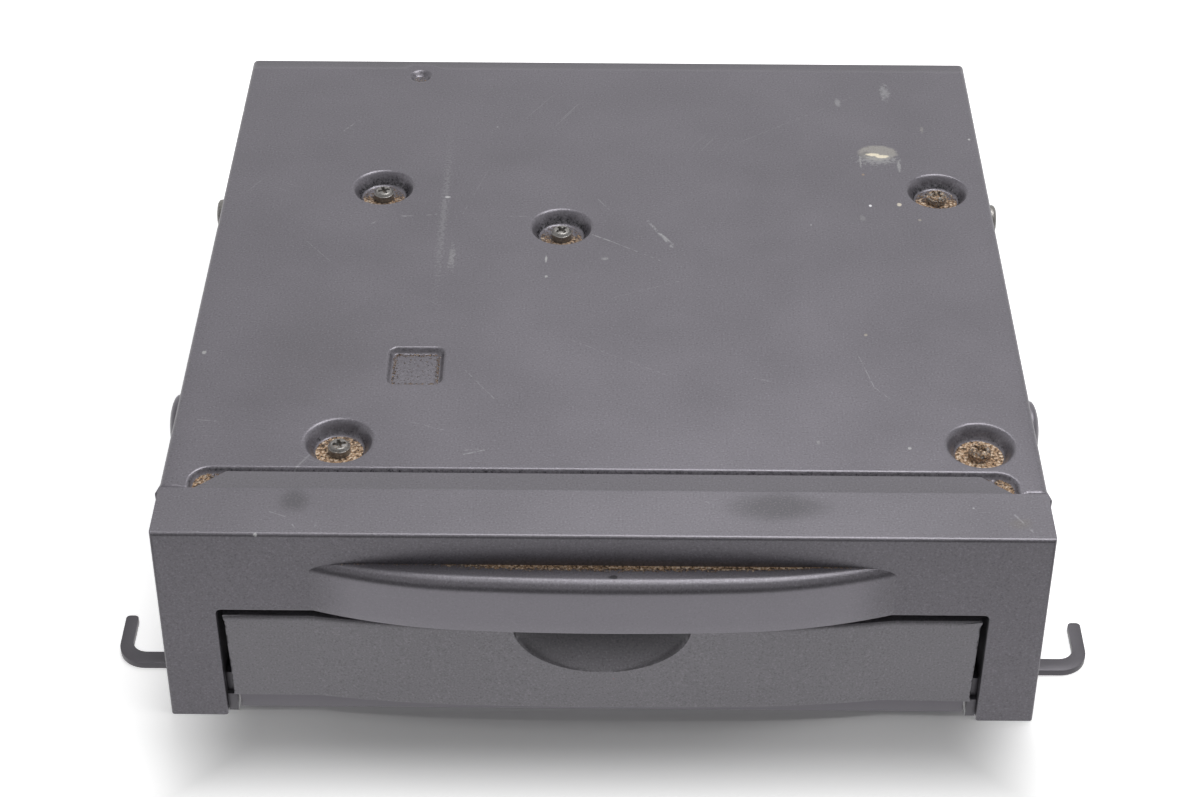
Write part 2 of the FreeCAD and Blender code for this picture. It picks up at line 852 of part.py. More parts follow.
def make_bottom_chassis():
    """Steel bottom plate with the two side flanges and the two flat hooks."""
    piece = Piece(doc, "bottom_chassis")
    plate_front = BEZEL_BACK + d.seat_gap
    piece.add("XY", 0, d.plate, rect(-SIDE, plate_front, SIDE, BACK))
    flange = rect(FRONT + d.flange_start, 0, REAR_FRONT, TOP - d.flange_drop)
    for low, high in both_sides(FLANGE_IN, FLANGE_OUT):
        piece.add("YZ", low, high, flange)
    front = FRONT + d.hook_front
    out = SIDE + d.hook_reach
    inner_bend = d.hook_bend - d.hook_finger
    neck = BEZEL_HALF_BOTTOM + d.seat_gap * 2
    seat = SIDE - d.plate
    hook = rounded([(seat, plate_front), (neck, plate_front), (neck, front), (out, front),
                    (out, front + d.hook_length), (out - d.hook_finger, front + d.hook_length),
                    (out - d.hook_finger, front + d.hook_band), (seat, front + d.hook_band)],
                   [0, 0, 0, d.hook_bend, d.hook_tip, d.hook_tip, inner_bend, 0])
    piece.add("XY", 0, d.plate, *pair(hook))
    piece.cut("YZ", -SIDE, SIDE, *side_holes())


def make_rear_panel():
    """Steel rear panel with connector windows, a support bush hole and vents."""
    piece = Piece(doc, "rear_panel")
    half = FLANGE_IN - d.seat_gap
    gap = d.seat_gap * 2
    piece.add("XZ", REAR_FRONT, BACK, rect(-half, COVER_BOTTOM, half, UNDER_TOP - d.seat_gap))
    windows = []
    for x, width, height in ((d.harness_x, d.harness_width, d.harness_height),
                             (d.display_x, d.display_width, d.display_height)):
        far = width / 2 + gap
        windows.append(rect(x - far, BOARD_TOP - gap, x + far, BOARD_TOP + height + gap))
    windows.append(flats(d.aerial_x, aerial_height(), d.aerial_radius + d.seat_gap, ROUND))
    windows.append(flats(d.bush_hole_x, d.support_z, d.support_core + d.support_wall + d.seat_gap, BORE))
    piece.cut("XZ", REAR_FRONT, BACK, *windows)
    vents = []
    for index in range(int(d.vent_count.value)):
        height = d.support_z - d.vent_pitch * (index - 1)
        vent = rect(half - d.vent_inset - d.vent_length, height, half - d.vent_inset, height + d.vent_width)
        vents.extend(pair(vent))
    piece.cut("XZ", REAR_FRONT, BACK, *vents)


def aerial_height():
    """Height of the aerial socket's middle."""
    return BOARD_TOP + d.aerial_radius + d.aerial_rise


def make_top_cover_screws():
    """Pan-head screws with cross recesses, sitting in the dimples."""
    piece = Piece(doc, "top_cover_screws")
    head_top = DIMPLE_FLOOR + d.screw_head_height
    crown = head_top.value
    piece.add("XY", DIMPLE_FLOOR - d.screw_length, DIMPLE_FLOOR, *top_screws(d.screw_shank_radius, SMALL))
    piece.add("XY", DIMPLE_FLOOR, head_top, *top_screws(d.screw_head_radius, ROUND))
    piece.fillet(d.screw_head_edge, lambda edge: edge.BoundBox.ZMin > crown - 1e-3, kind="Chamfer")
    low = head_top - d.recess_depth
    arm = d.recess_arm * 2
    piece.cut("XY", low, head_top, *[cross(x, y, arm, d.recess_width) for x, y in TOP_SCREWS])


def cross(x, y, arm, width):
    """Outline of a cross whose arms span `arm` and are `width` wide."""
    far, near = arm / 2, width / 2
    quarter = [(far, near), (near, near), (near, far)]
    outline = []
    for turn in range(4):
        outline.extend((x + a, y + b) for a, b in quarter)
        quarter = [(-b, a) for a, b in quarter]
    return outline


def make_side_fasteners():
    """Side screws and the larger domed guide studs, one of each on both sides."""
    shank_start = SIDE - d.side_shank_length
    for label, y, drop, shank, head, height, edge_size in (
            ("side_screws", d.side_screw_y, d.side_screw_drop, d.side_shank_radius, d.side_head_radius,
             d.side_head_height, d.side_head_edge),
            ("side_guide_studs", d.stud_y, d.stud_drop, d.stud_shank_radius, d.stud_radius,
             d.stud_height, d.stud_height - d.stud_rim)):
        piece = Piece(doc, label)
        crown = (SIDE + height).value
        spot = (FRONT + y, TOP - drop)
        for low, high in both_sides(shank_start, SIDE):
            piece.add("YZ", low, high, flats(*spot, shank, SMALL))
        for low, high in both_sides(SIDE, SIDE + height):
            piece.add("YZ", low, high, flats(*spot, head, LARGE))
        piece.fillet(edge_size, lambda edge: abs(edge.CenterOfMass.x) > crown - 1e-3, kind="Chamfer")


def bow(front, half, reach, mid_half, mid_reach, back, back_half):
    """Plan outline of a bulge: a flat arc in the middle, tighter arcs to both ends, straight at the back."""
    tip = front - reach
    knee = front - mid_reach
    middle = arc_through(mid_half, reach - mid_reach)
    # The end arc is tangent to the middle arc at the knee.
    slope = mid_half / root(middle * middle - mid_half * mid_half)
    run = half - mid_half
    flank = (run * run + mid_reach * mid_reach) * root(slope * slope + 1) / (2 * (mid_reach - slope * run))
    outline = [(-half, front), Arc(flank, 1), (-mid_half, knee), Arc(middle, 1), (mid_half, knee),
               Arc(flank, 1), (half, front)]
    return outline + [(back_half, back), (-back_half, back)], tip


def make_front_bezel():
    """Moulded bezel: an arch with the bulged brow, a tongue over the cover and two side snaps."""
    piece = Piece(doc, "front_bezel")
    # The brow's plan runs on behind the front plane so that its rounded edge dies out in the face.
    spread = d.brow_half_width + d.brow_root * 2.7
    outline, _ = bow(FRONT + d.brow_root, spread, d.brow_reach + d.brow_root, d.brow_mid_half,
                     d.brow_mid_reach + d.brow_root, FRONT + d.brow_root + 2, spread)
    piece.add("XY", d.brow_bottom, d.brow_ledge, outline)
    piece.fillet(d.brow_edge, lambda edge: abs(edge.CenterOfMass.z - d.brow_ledge.value) < 1e-3
                 and hasattr(edge.Curve, "Radius"))
    window, top = WINDOW_HALF, d.window_top
    arch = [(-BEZEL_HALF_BOTTOM, Size.of(0)), (-window, Size.of(0)), (-window, top - d.window_corner),
            Arc(d.window_corner, -1), (-window + d.window_corner, top), (window - d.window_corner, top),
            Arc(d.window_corner, -1), (window, top - d.window_corner), (window, Size.of(0)),
            (BEZEL_HALF_BOTTOM, Size.of(0)), (BEZEL_HALF_TOP, TOP), (-BEZEL_HALF_TOP, TOP)]
    piece.add("XZ", FRONT, BEZEL_BACK, arch)
    piece.fillet(d.bezel_edge, lambda edge: abs(edge.CenterOfMass.y - FRONT.value) < 1e-3
                 and (spans(edge, "x", 2 * window.value) or (edge.BoundBox.ZLength > top.value
                      and abs(edge.CenterOfMass.x) > window.value + d.bezel_wall.value)))
    # Hollow from behind: the header above the window and the two legs.
    inside = FRONT + d.bezel_wall
    header = rect(-SIDE + d.bezel_wall, top + d.lip, SIDE - d.bezel_wall, TOP - d.lip)
    leg = rect(window + d.lip, d.lip, SIDE - d.bezel_wall, top)
    piece.cut("XZ", inside, BEZEL_BACK, header, *pair(leg))
    pocket_half = FASCIA_HALF + d.seat_gap
    piece.cut("XZ", FRONT + d.fascia_front - d.seat_gap, BEZEL_BACK,
              rect(-pocket_half, top - d.window_corner, pocket_half, d.fascia_top + d.seat_gap))
    tongue_back = FRONT + d.tongue_reach
    tongue_half = SIDE - d.tongue_inset
    bevel = tongue_half - d.tongue_chamfer
    start = BEZEL_BACK - d.lip
    tongue = [(-tongue_half, start), (tongue_half, start), (tongue_half, BEZEL_BACK),
              (bevel, tongue_back), (-bevel, tongue_back), (-tongue_half, BEZEL_BACK)]
    piece.add("XY", TOP - d.tongue_thickness, TOP, tongue)
    # Snap arms inside the cover, with wedges that stand out through its windows.
    arm_out = INNER_SIDE - d.seat_gap
    arm_in = arm_out - d.snap_arm
    snap_y = FRONT + d.snap_start
    arm_back = snap_y + d.snap_length + d.snap_tail
    snap_top = SNAP_BOTTOM + d.snap_height
    piece.add("XY", SNAP_BOTTOM, snap_top, *pair(rect(arm_in, inside, arm_out, arm_back)))
    root_x = (arm_in + arm_out) / 2
    wedge = [(root_x, snap_y), (SIDE + d.snap_proud, snap_y + d.snap_lead),
             (arm_out, snap_y + d.snap_length), (root_x, snap_y + d.snap_length)]
    piece.add("XY", SNAP_BOTTOM, snap_top, *pair(wedge))


def make_lower_rail():
    """Moulded rail across the foot of the bezel, with a hinge block at each end."""
    piece = Piece(doc, "lower_rail")
    out = RAIL_HALF
    low = Size.of(0)
    piece.add("XY", 0, d.rail_height, rect(-out, FRONT + d.rail_front, out, BEZEL_BACK))
    shoulder = FRONT + d.fascia_front - d.seat_gap
    block = [(FRONT + d.block_front, low), (BEZEL_BACK, low), (BEZEL_BACK, d.rail_height),
             (shoulder, d.rail_height), (shoulder, d.block_top),
             (FRONT + d.block_step_y, d.block_top), (FRONT + d.block_step_y, d.block_step_height),
             (FRONT + d.block_front, d.block_step_height)]
    for start, end in both_sides(out - d.block_width, out):
        piece.add("YZ", start, end, block)
    piece.cut("YZ", -out, out, flats(FRONT + d.hinge_y, d.hinge_z, d.pin_radius, BORE))


def make_door_panel():
    """Bulged door face with the finger scoop dished into its top edge."""
    piece = Piece(doc, "door_panel")
    face, back = FRONT + d.door_face, FRONT + d.door_back
    half = DOOR_HALF
    bulge = d.door_bulge_half
    outline, tip = bow(face, bulge, d.door_bulge, d.door_mid_half, d.door_mid_bulge, back, half)
    outline = outline[:-2] + [(half, face), (half, back), (-half, back), (-half, face)]
    piece.add("XY", d.door_bottom, d.door_top, outline)
    piece.fillet(d.door_chamfer, lambda edge: abs(edge.CenterOfMass.z - d.door_top.value) < 1e-3
                 and edge.BoundBox.YMax < back.value - 0.5, kind="Chamfer")
    # Both ends lean in towards the bottom.
    beyond = half + d.door_gap
    lean = [(DOOR_HALF_BOTTOM, d.door_bottom), (beyond, d.door_bottom), (beyond, d.door_top),
            (half, d.door_top)]
    piece.cut("XZ", tip, back, *pair(lean))
    scoop = piece.body.newObject("PartDesign::SubtractiveEllipsoid", "door_panel_scoop")
    support = [item for item in piece.body.Origin.OriginFeatures if item.Role == "XY_Plane"][0]
    scoop.AttachmentSupport = (support, [""])
    scoop.MapMode = "FlatFace"
    bind(scoop, "Radius1", d.scoop_height)
    bind(scoop, "Radius2", d.scoop_half_width)
    bind(scoop, "Radius3", d.scoop_depth)
    bind(scoop, "AttachmentOffset.Base.y", tip)
    bind(scoop, "AttachmentOffset.Base.z", d.door_top)


def make_door_carrier():
    """Steel plate behind the door face, joggled forward into the tail strip, with a barrel at each end."""
    piece = Piece(doc, "door_carrier")
    half = CARRIER_HALF
    plate_front = FRONT + d.door_back
    plate_back = CARRIER_BACK
    tail_front = FRONT + d.tail_front
    tail_back = tail_front + d.tail_thickness
    joggle = d.door_bottom
    profile = [(tail_front, d.tail_bottom), (tail_back, d.tail_bottom), (tail_back, joggle),
               (plate_back, joggle), (plate_back, d.door_top - d.carrier_drop),
               (plate_front, d.door_top - d.carrier_drop),
               (plate_front, joggle), (tail_front, joggle)]
    piece.add("YZ", -half, half, profile)
    barrel = circle(FRONT + d.hinge_y, d.hinge_z, d.barrel_radius)
    bore = flats(FRONT + d.hinge_y, d.hinge_z, d.pin_radius + d.pin_clearance, BORE)
    for low, high in both_sides(half - d.barrel_length, half):
        piece.add("YZ", low, high, barrel)
    for low, high in both_sides(half - d.barrel_length, half):
        piece.cut("YZ", low, high, bore)


def make_door_hinge_pins():
    """Steel pins pressed into the rail's blocks and running in the door's barrels."""
    piece = Piece(doc, "door_hinge_pins")
    inner = CARRIER_HALF - d.barrel_length + d.pin_radius
    for low, high in both_sides(inner, RAIL_HALF):
        piece.add("YZ", low, high, flats(FRONT + d.hinge_y, d.hinge_z, d.pin_radius, BORE))


def make_inner_fascia():
    """Moulded plate behind the door with the disc slot, button hole, window and magnet posts."""
    piece = Piece(doc, "inner_fascia")
    front = FRONT + d.fascia_front
    back = front + d.fascia_sheet
    half = FASCIA_HALF
    piece.add("XZ", front, back, rect(-half, d.fascia_bottom, half, d.fascia_top))
    slot = rect(-d.slot_half_width, d.slot_bottom, d.slot_half_width, d.slot_top)
    gap = d.button_gap * 2
    button = centred(d.button_x, d.button_z, d.button_width + gap, d.button_height + gap)
    lens = centred(d.lens_x, d.button_z, d.lens_width, d.lens_height)
    piece.cut("XZ", front, back, slot, button, lens)
    post = centred(MAGNET_X, d.magnet_z, d.magnet_width, d.magnet_height)
    piece.add("XZ", MAGNET_FRONT + d.magnet_length, front, *pair(post))
    # Two fixing tabs run back to the bezel's rear plane.
    tab = rect(half - d.button_rim - d.fascia_tab, front + d.fascia_sheet / 2, half - d.button_rim,
               BEZEL_BACK + d.fascia_tab_reach)
    piece.add("XY", d.fascia_bottom, d.fascia_bottom + d.fascia_tab_sheet, *pair(tab))


def make_fascia_trim():
    """Felt pads of the slot, door magnets and the status window."""
    front = FRONT + d.fascia_front
    back = front + d.fascia_sheet
    lips = Piece(doc, "slot_dust_pads")
    reach = d.slot_half_width - d.slot_corner
    lips.add("XZ", front, back, rect(-reach, d.slot_bottom, reach, d.slot_bottom + d.lip_pad),
             rect(-reach, d.slot_top - d.lip_pad, reach, d.slot_top))
    magnets = Piece(doc, "door_magnets")
    magnets.add("XZ", MAGNET_FRONT, MAGNET_FRONT + d.magnet_length,
                *pair(centred(MAGNET_X, d.magnet_z, d.magnet_width, d.magnet_height)))
    lens = Piece(doc, "status_window")
    lens.add("XZ", front - d.fascia_gap, back, centred(d.lens_x, d.button_z, d.lens_width, d.lens_height))


def make_eject_button():
    """Eject button with its retaining flange and stem."""
    piece = Piece(doc, "eject_button")
    front = FRONT + d.fascia_front
    back = front + d.fascia_sheet
    face = front - d.button_proud
    piece.add("XZ", face, back + d.button_gap,
              centred(d.button_x, d.button_z, d.button_width, d.button_height))
    piece.fillet(d.button_edge, lambda edge: abs(edge.BoundBox.YMax - face.value) < 1e-3, kind="Chamfer")
    grow = 2 * d.button_rim
    flange = centred(d.button_x, d.button_z, d.button_width + grow, d.button_height + grow)
    seat = back + d.seat_gap
    piece.add("XZ", seat, seat + d.button_flange, flange)


def make_button_board():
    """Small board behind the fascia with the eject switch and the status lamp."""
    back = FRONT + d.fascia_front + d.fascia_sheet
    flange_back = back + d.seat_gap + d.button_flange
    board_front = back + d.button_board_gap
    half = d.button_board_half
    right = d.button_x + d.button_board_right
    board = Piece(doc, "button_board")
    board.add("XZ", board_front, board_front + d.board_sheet,
              rect(d.lens_x - d.button_board_left, d.button_z - half, right, d.button_z + half))
    left_foot = rect(d.lens_x - d.button_board_left, d.button_z - half, d.lens_x - d.lamp_width,
                     d.button_z - half + d.spacer)
    right_foot = rect(right - d.spacer, d.button_z - d.spacer, right - d.lamp_gap, d.button_z + d.spacer)
    board.add("XZ", back, board_front + d.board_sheet / 2, left_foot, right_foot)
    switch = Piece(doc, "eject_switch")
    switch.add("XZ", flange_back + d.button_travel + d.switch_gap, board_front,
               centred(d.button_x, d.button_z, d.switch_width, d.switch_width))
    lamp = Piece(doc, "status_lamp")
    lamp.add("XZ", back + d.lamp_gap, board_front,
             centred(d.lens_x, d.button_z, d.lamp_width, d.lamp_height))


# Drive


def make_drive_hanger():
    """Sheet frame hung from the cover's five screws, with side walls that carry the rubber mounts."""
    piece = Piece(doc, "drive_hanger")
    front, back = FRONT + d.hanger_front, FRONT + d.hanger_back
    wall = HANGER_WALL
    piece.add("XY", HANGER_BOTTOM, HANGER_TOP,
              rect(-wall - d.hanger_left_edge, front, SIDE - d.hanger_right_inset, back))
    piece.cut("XY", HANGER_BOTTOM, HANGER_TOP,
              rect(LEFT_SCREW_X + d.hanger_screw_bar, front + d.hanger_front_bar, wall - d.hanger_side_bar,
                   back - d.hanger_bar))
    ear = rect(FRONT + d.bush_front_y - d.ear_front, d.bush_z - d.ear_drop,
               FRONT + d.bush_back_y + d.ear_back, HANGER_TOP)
    for low, high in both_sides(wall, wall + d.hanger_sheet):
        piece.add("YZ", low, high, ear)
    piece.cut("XY", HANGER_BOTTOM, HANGER_TOP, *top_screws(d.screw_shank_radius, SMALL))
    reach = wall + d.hanger_sheet
    piece.cut("YZ", -reach, reach, *mount_outlines(d.damper_shank + d.screw_clearance, SMALL))


def mount_outlines(half, sides):
    """Outlines at the rubber mounts, seen from the side."""
    return [flats(FRONT + y, d.bush_z, half, sides) for y in (d.bush_front_y, d.bush_back_y)]


def make_dampers():
    """Rubber bushes between the deck and its hanger, with their shouldered screws."""
    bushes = Piece(doc, "damper_bushes")
    screws = Piece(doc, "damper_screws")
    head = HANGER_WALL + d.hanger_sheet
    inner = d.deck_half_width - d.deck_sheet - d.damper_end
    for low, high in both_sides(d.deck_half_width, HANGER_WALL):
        bushes.add("YZ", low, high, *mount_outlines(d.bush_radius, BORE))
    for low, high in both_sides(d.deck_half_width, HANGER_WALL):
        bushes.cut("YZ", low, high, *mount_outlines(d.damper_shank, SMALL))
    for low, high in both_sides(inner, head):
        screws.add("YZ", low, high, *mount_outlines(d.damper_shank, SMALL))
    for low, high in both_sides(head, head + d.damper_head_height):
        screws.add("YZ", low, high, *mount_outlines(d.damper_head, HEX))


def make_deck_frame():
    """Steel deck of the drive: plate with windows, side walls and ears for the clamp arm."""
    piece = Piece(doc, "deck_frame")
    half = d.deck_half_width
    inside = half - d.deck_sheet
    front, back = FRONT + d.deck_front, DECK_BACK
    sled_low, sled_high = FRONT + d.rod_front + d.rod_block, ROD_BACK - d.rod_block
    piece.add("XY", d.deck_plate_z, DECK_TOP, rect(-half, front, half, back))
    notch = rect(-inside, front - d.notch_front, MOTOR_X + d.loader_length + d.notch_side,
                 FRONT + d.pinion_y + d.notch_back)
    sled = rect(-d.rod_x - d.window_margin, sled_low, d.screw_x + d.window_side, sled_high)
    motor_half = d.sled_motor_radius + d.motor_margin
    motor_front = FRONT + d.sled_motor_front
    motor = rect(d.screw_x - motor_half, motor_front - d.motor_margin,
                 d.screw_x + motor_half, motor_front + d.sled_motor_length + d.motor_margin)
    piece.cut("XY", d.deck_plate_z, DECK_TOP, notch, sled, motor, flats(0, SPINDLE_Y, d.hub_hole, BORE))
    for low, high in both_sides(inside, half):
        piece.add("YZ", low, high, rect(front, d.deck_plate_z, back, d.deck_wall_top))
    # The left wall reaches down to carry the loading motor and the gear pins.
    apron = rect(FRONT + d.pinion_y - d.apron_front, ROLLER_Z - d.apron_drop,
                 FRONT + d.pinion_y + d.apron_back, DECK_TOP)
    piece.add("YZ", -half, -inside, apron)
    ear = rect(CLAMP_HINGE_Y - d.ear_half, d.deck_plate_z,
               CLAMP_HINGE_Y + d.ear_half, d.clamp_plate_z + d.ear_rise)
    ear_in = d.clamp_ear_x + d.ear_gap
    slab = ear_in + d.deck_sheet
    piece.add("YZ", ear_in + d.ear_right, slab + d.ear_right, ear)
    piece.add("YZ", -slab - d.ear_left, -ear_in - d.ear_left, ear)
    clamp_pin = flats(CLAMP_HINGE_Y, CLAMP_HINGE_Z, d.clamp_pin_radius, BORE)
    piece.cut("YZ", -slab - d.ear_left, slab + d.ear_right, clamp_pin)
    piece.cut("YZ", -half, half, flats(ROLLER_Y, ROLLER_Z, d.roller_shaft + d.bearing_wall, SMALL))
    for low, high in both_sides(inside, half):
        piece.cut("YZ", low, high, *mount_outlines(d.damper_shank, SMALL))


def make_disc_guide():
    """Moulded upper guide above the roller, held between the deck walls."""
    piece = Piece(doc, "upper_disc_guide")
    half = d.deck_half_width - d.deck_sheet
    front, back = FRONT + d.deck_front, FRONT + d.guide_back
    top = d.guide_z + d.guide_sheet
    piece.add("XY", d.guide_z, top, rect(-half, front, half, back))
    ribs = []
    for index in range(-2, 3):
        middle = d.guide_rib_pitch * index
        ribs.append(rect(middle - d.guide_rib / 2, front + d.guide_rib_inset, middle + d.guide_rib / 2,
                         back - d.guide_rib_inset))
    piece.add("XY", top, top + d.guide_rib_height, *ribs)


def make_roller():
    """Loading roller: shaft, two waisted rubber sleeves and bearing bushes in the deck walls."""
    half = d.deck_half_width
    origin = (0, ROLLER_Y, ROLLER_Z)
    shaft = Piece(doc, "roller_shaft", origin, ALONG_X)
    reach = half + d.roller_shaft_end
    shaft.add("XY", -reach, reach, circle(0, 0, d.roller_shaft))
    sleeves = Piece(doc, "roller_sleeves", origin, ALONG_X)
    near, far = d.roller_gap, half - d.roller_end_gap
    sleeves.cone_add(near, far, d.roller_waist, d.roller_radius, [(0, 0)], ROUND)
    sleeves.cone_add(-far, -near, d.roller_radius, d.roller_waist, [(0, 0)], ROUND)
    sleeves.cut("XY", -far, far, flats(0, 0, d.roller_shaft, BORE))
    bushes = Piece(doc, "roller_bearings", origin, ALONG_X)
    spans_out = both_sides(half - d.deck_sheet, half + d.bearing_proud)
    for low, high in spans_out:
        bushes.add("XY", low, high, flats(0, 0, d.roller_shaft + d.bearing_wall, SMALL))
    for low, high in spans_out:
        bushes.cut("XY", low, high, flats(0, 0, d.roller_shaft + d.running_gap, BORE))


def make_gear(label, origin, teeth, bore, phase):
    """Spur gear about its own axis: a blank and one tooth repeated round it."""
    piece = Piece(doc, label, origin, ALONG_X)
    module = d.gear_module
    pitch = module * teeth / 2
    foot = pitch - module * 1.25
    tip = pitch + module * 0.9
    piece.add("XY", 0, d.gear_width, circle(0, 0, foot))
    # Half widths of a tooth at its foot and tip, a little slim for backlash.
    foot_half = module * 1.0
    tip_half = module * 0.3
    seat = foot - module * 0.3
    tooth = [(seat, -foot_half), (foot, -foot_half), (tip, -tip_half), (tip, tip_half), (foot, foot_half),
             (seat, foot_half)]
    single = piece.add("XY", 0, d.gear_width, tooth)
    doc.recompute()
    ring = piece.body.newObject("PartDesign::PolarPattern", "%s_teeth" % piece.body.Name)
    ring.Originals = [single]
    axis = [item for item in piece.body.Origin.OriginFeatures if item.Role == "Z_Axis"][0]
    ring.Axis = (axis, [""])
    ring.Angle = 360
    ring.Occurrences = teeth
    piece.body.Tip = ring
    piece.cut("XY", 0, d.gear_width, flats(0, 0, bore, BORE))
    turn = FreeCAD.Rotation(FreeCAD.Vector(1, 0, 0), phase)
    piece.body.Placement = FreeCAD.Placement(piece.body.Placement.Base, turn * ALONG_X)
    return piece


def mesh_phase(centre, other, teeth, other_phase, other_teeth):
    """Angle that sets a gear's gap against a tooth of the gear it meets, seen along +X."""
    heading = math.degrees(math.atan2(other[1] - centre[1], other[0] - centre[0]))
    away = heading + 180.0
    # Offset of the other gear's nearest tooth from the line of centres, in its own pitch.
    other_pitch = 360.0 / other_teeth
    shift = (away - other_phase) / other_pitch
    shift -= math.floor(shift)
    pitch = 360.0 / teeth
    return heading - pitch * (0.5 - shift)


def make_gear_train():
    """Roller gear, idler and motor pinion in one plane beside the left deck wall."""
    idler_origin = (GEAR_X, FRONT + d.idler_y, idler_height())
    roller = (ROLLER_Y.value, ROLLER_Z.value)
    idler = (idler_origin[1].value, idler_origin[2].value)
    pinion_origin = (GEAR_X, FRONT + d.pinion_y, pinion_height())
    pinion = (pinion_origin[1].value, pinion_origin[2].value)
    roller_phase = 0.0
    idler_phase = mesh_phase(idler, roller, IDLER_TEETH, roller_phase, ROLLER_TEETH)
    pinion_phase = mesh_phase(pinion, idler, PINION_TEETH, idler_phase, IDLER_TEETH)
    # A tooth starts on the gear's own X axis, which points down once the gear lies along X.
    rest = 90.0
    pin_radius = d.roller_shaft / 2
    make_gear("roller_gear", (GEAR_X, ROLLER_Y, ROLLER_Z), ROLLER_TEETH, d.roller_shaft, roller_phase + rest)
    make_gear("idler_gear", idler_origin, IDLER_TEETH, pin_radius + d.running_gap, idler_phase + rest)
    make_gear("motor_pinion", pinion_origin, PINION_TEETH, pin_radius, pinion_phase + rest)
    wall = -d.deck_half_width + d.deck_sheet
    pin = Piece(doc, "idler_pin", (0, idler_origin[1], idler_origin[2]), ALONG_X)
    pin.add("XY", wall, GEAR_X + d.gear_width + d.pin_end, flats(0, 0, pin_radius, BORE))
    # The motor sits on a bracket whose foot lies on the deck plate behind the notch.
    axis = (0, pinion_origin[1], pinion_origin[2])
    motor = Piece(doc, "loading_motor", axis, ALONG_X)
    motor.add("XY", MOTOR_X, MOTOR_X + d.loader_length, flats(0, 0, d.loader_radius, LARGE))
    motor.add("XY", BRACKET_X, MOTOR_X, flats(0, 0, d.loader_nose, BORE))
    motor.cut("XY", BRACKET_X, MOTOR_X + d.loader_bore, flats(0, 0, pin_radius + d.running_gap, BORE))
    shaft = Piece(doc, "loading_motor_shaft", axis, ALONG_X)
    shaft.add("XY", GEAR_X - d.shaft_end, MOTOR_X + d.loader_bore - d.shaft_gap, circle(0, 0, pin_radius))
    bracket = Piece(doc, "motor_bracket")
    notch_back = FRONT + d.pinion_y + d.notch_back
    foot_back = notch_back + d.bracket_foot
    low = pinion_origin[2] - d.loader_radius
    bracket.add("YZ", BRACKET_X, MOTOR_X,
                rect(FRONT + d.pinion_y - d.loader_radius, low, foot_back, DECK_TOP + d.bracket_sheet))
    bracket.cut("YZ", BRACKET_X, MOTOR_X, rect(notch_back, low, foot_back, DECK_TOP),
                flats(pinion_origin[1], pinion_origin[2], d.loader_nose + d.running_gap, BORE))
    bracket.add("XY", DECK_TOP, DECK_TOP + d.bracket_sheet,
                rect(BRACKET_X, notch_back, BRACKET_X + d.bracket_width, foot_back))


def idler_height():
    """Height that puts the idler in mesh with the roller gear."""
    reach = d.gear_module * ((ROLLER_TEETH + IDLER_TEETH) / 2)
    run = d.idler_y - d.roller_y
    return ROLLER_Z - root(reach * reach - run * run)


def pinion_height():
    """Height that puts the pinion in mesh with the idler."""
    reach = d.gear_module * ((IDLER_TEETH + PINION_TEETH) / 2)
    run = d.pinion_y - d.idler_y
    return idler_height() - root(reach * reach - run * run)


def make_spindle():
    """Spindle motor under the deck plate and the turntable on its shaft."""
    origin = (0, SPINDLE_Y, 0)
    floor = d.spindle_motor_bottom + d.spindle_floor
    boss_top = DECK_TOP + d.spindle_boss_height
    motor = Piece(doc, "spindle_motor", origin)
    motor.add("XY", d.spindle_motor_bottom, d.deck_plate_z, flats(0, 0, d.spindle_motor_radius, LARGE))
    motor.add("XY", d.deck_plate_z, boss_top, flats(0, 0, d.spindle_boss, BORE))
    motor.cut("XY", floor, boss_top, flats(0, 0, d.spindle_shaft + d.running_gap, BORE))
    seat = d.disc_plane
    low = seat - d.table_thickness
    table = Piece(doc, "turntable", origin)
    table.add("XY", low, seat, flats(0, 0, d.table_radius, LARGE))
    table.cone_add(seat, seat + d.hub_height, d.hub_radius, d.hub_radius - d.hub_slope, [(0, 0)], LARGE)
    table.add("XY", floor + d.spindle_end_gap, low, flats(0, 0, d.spindle_shaft, BORE))


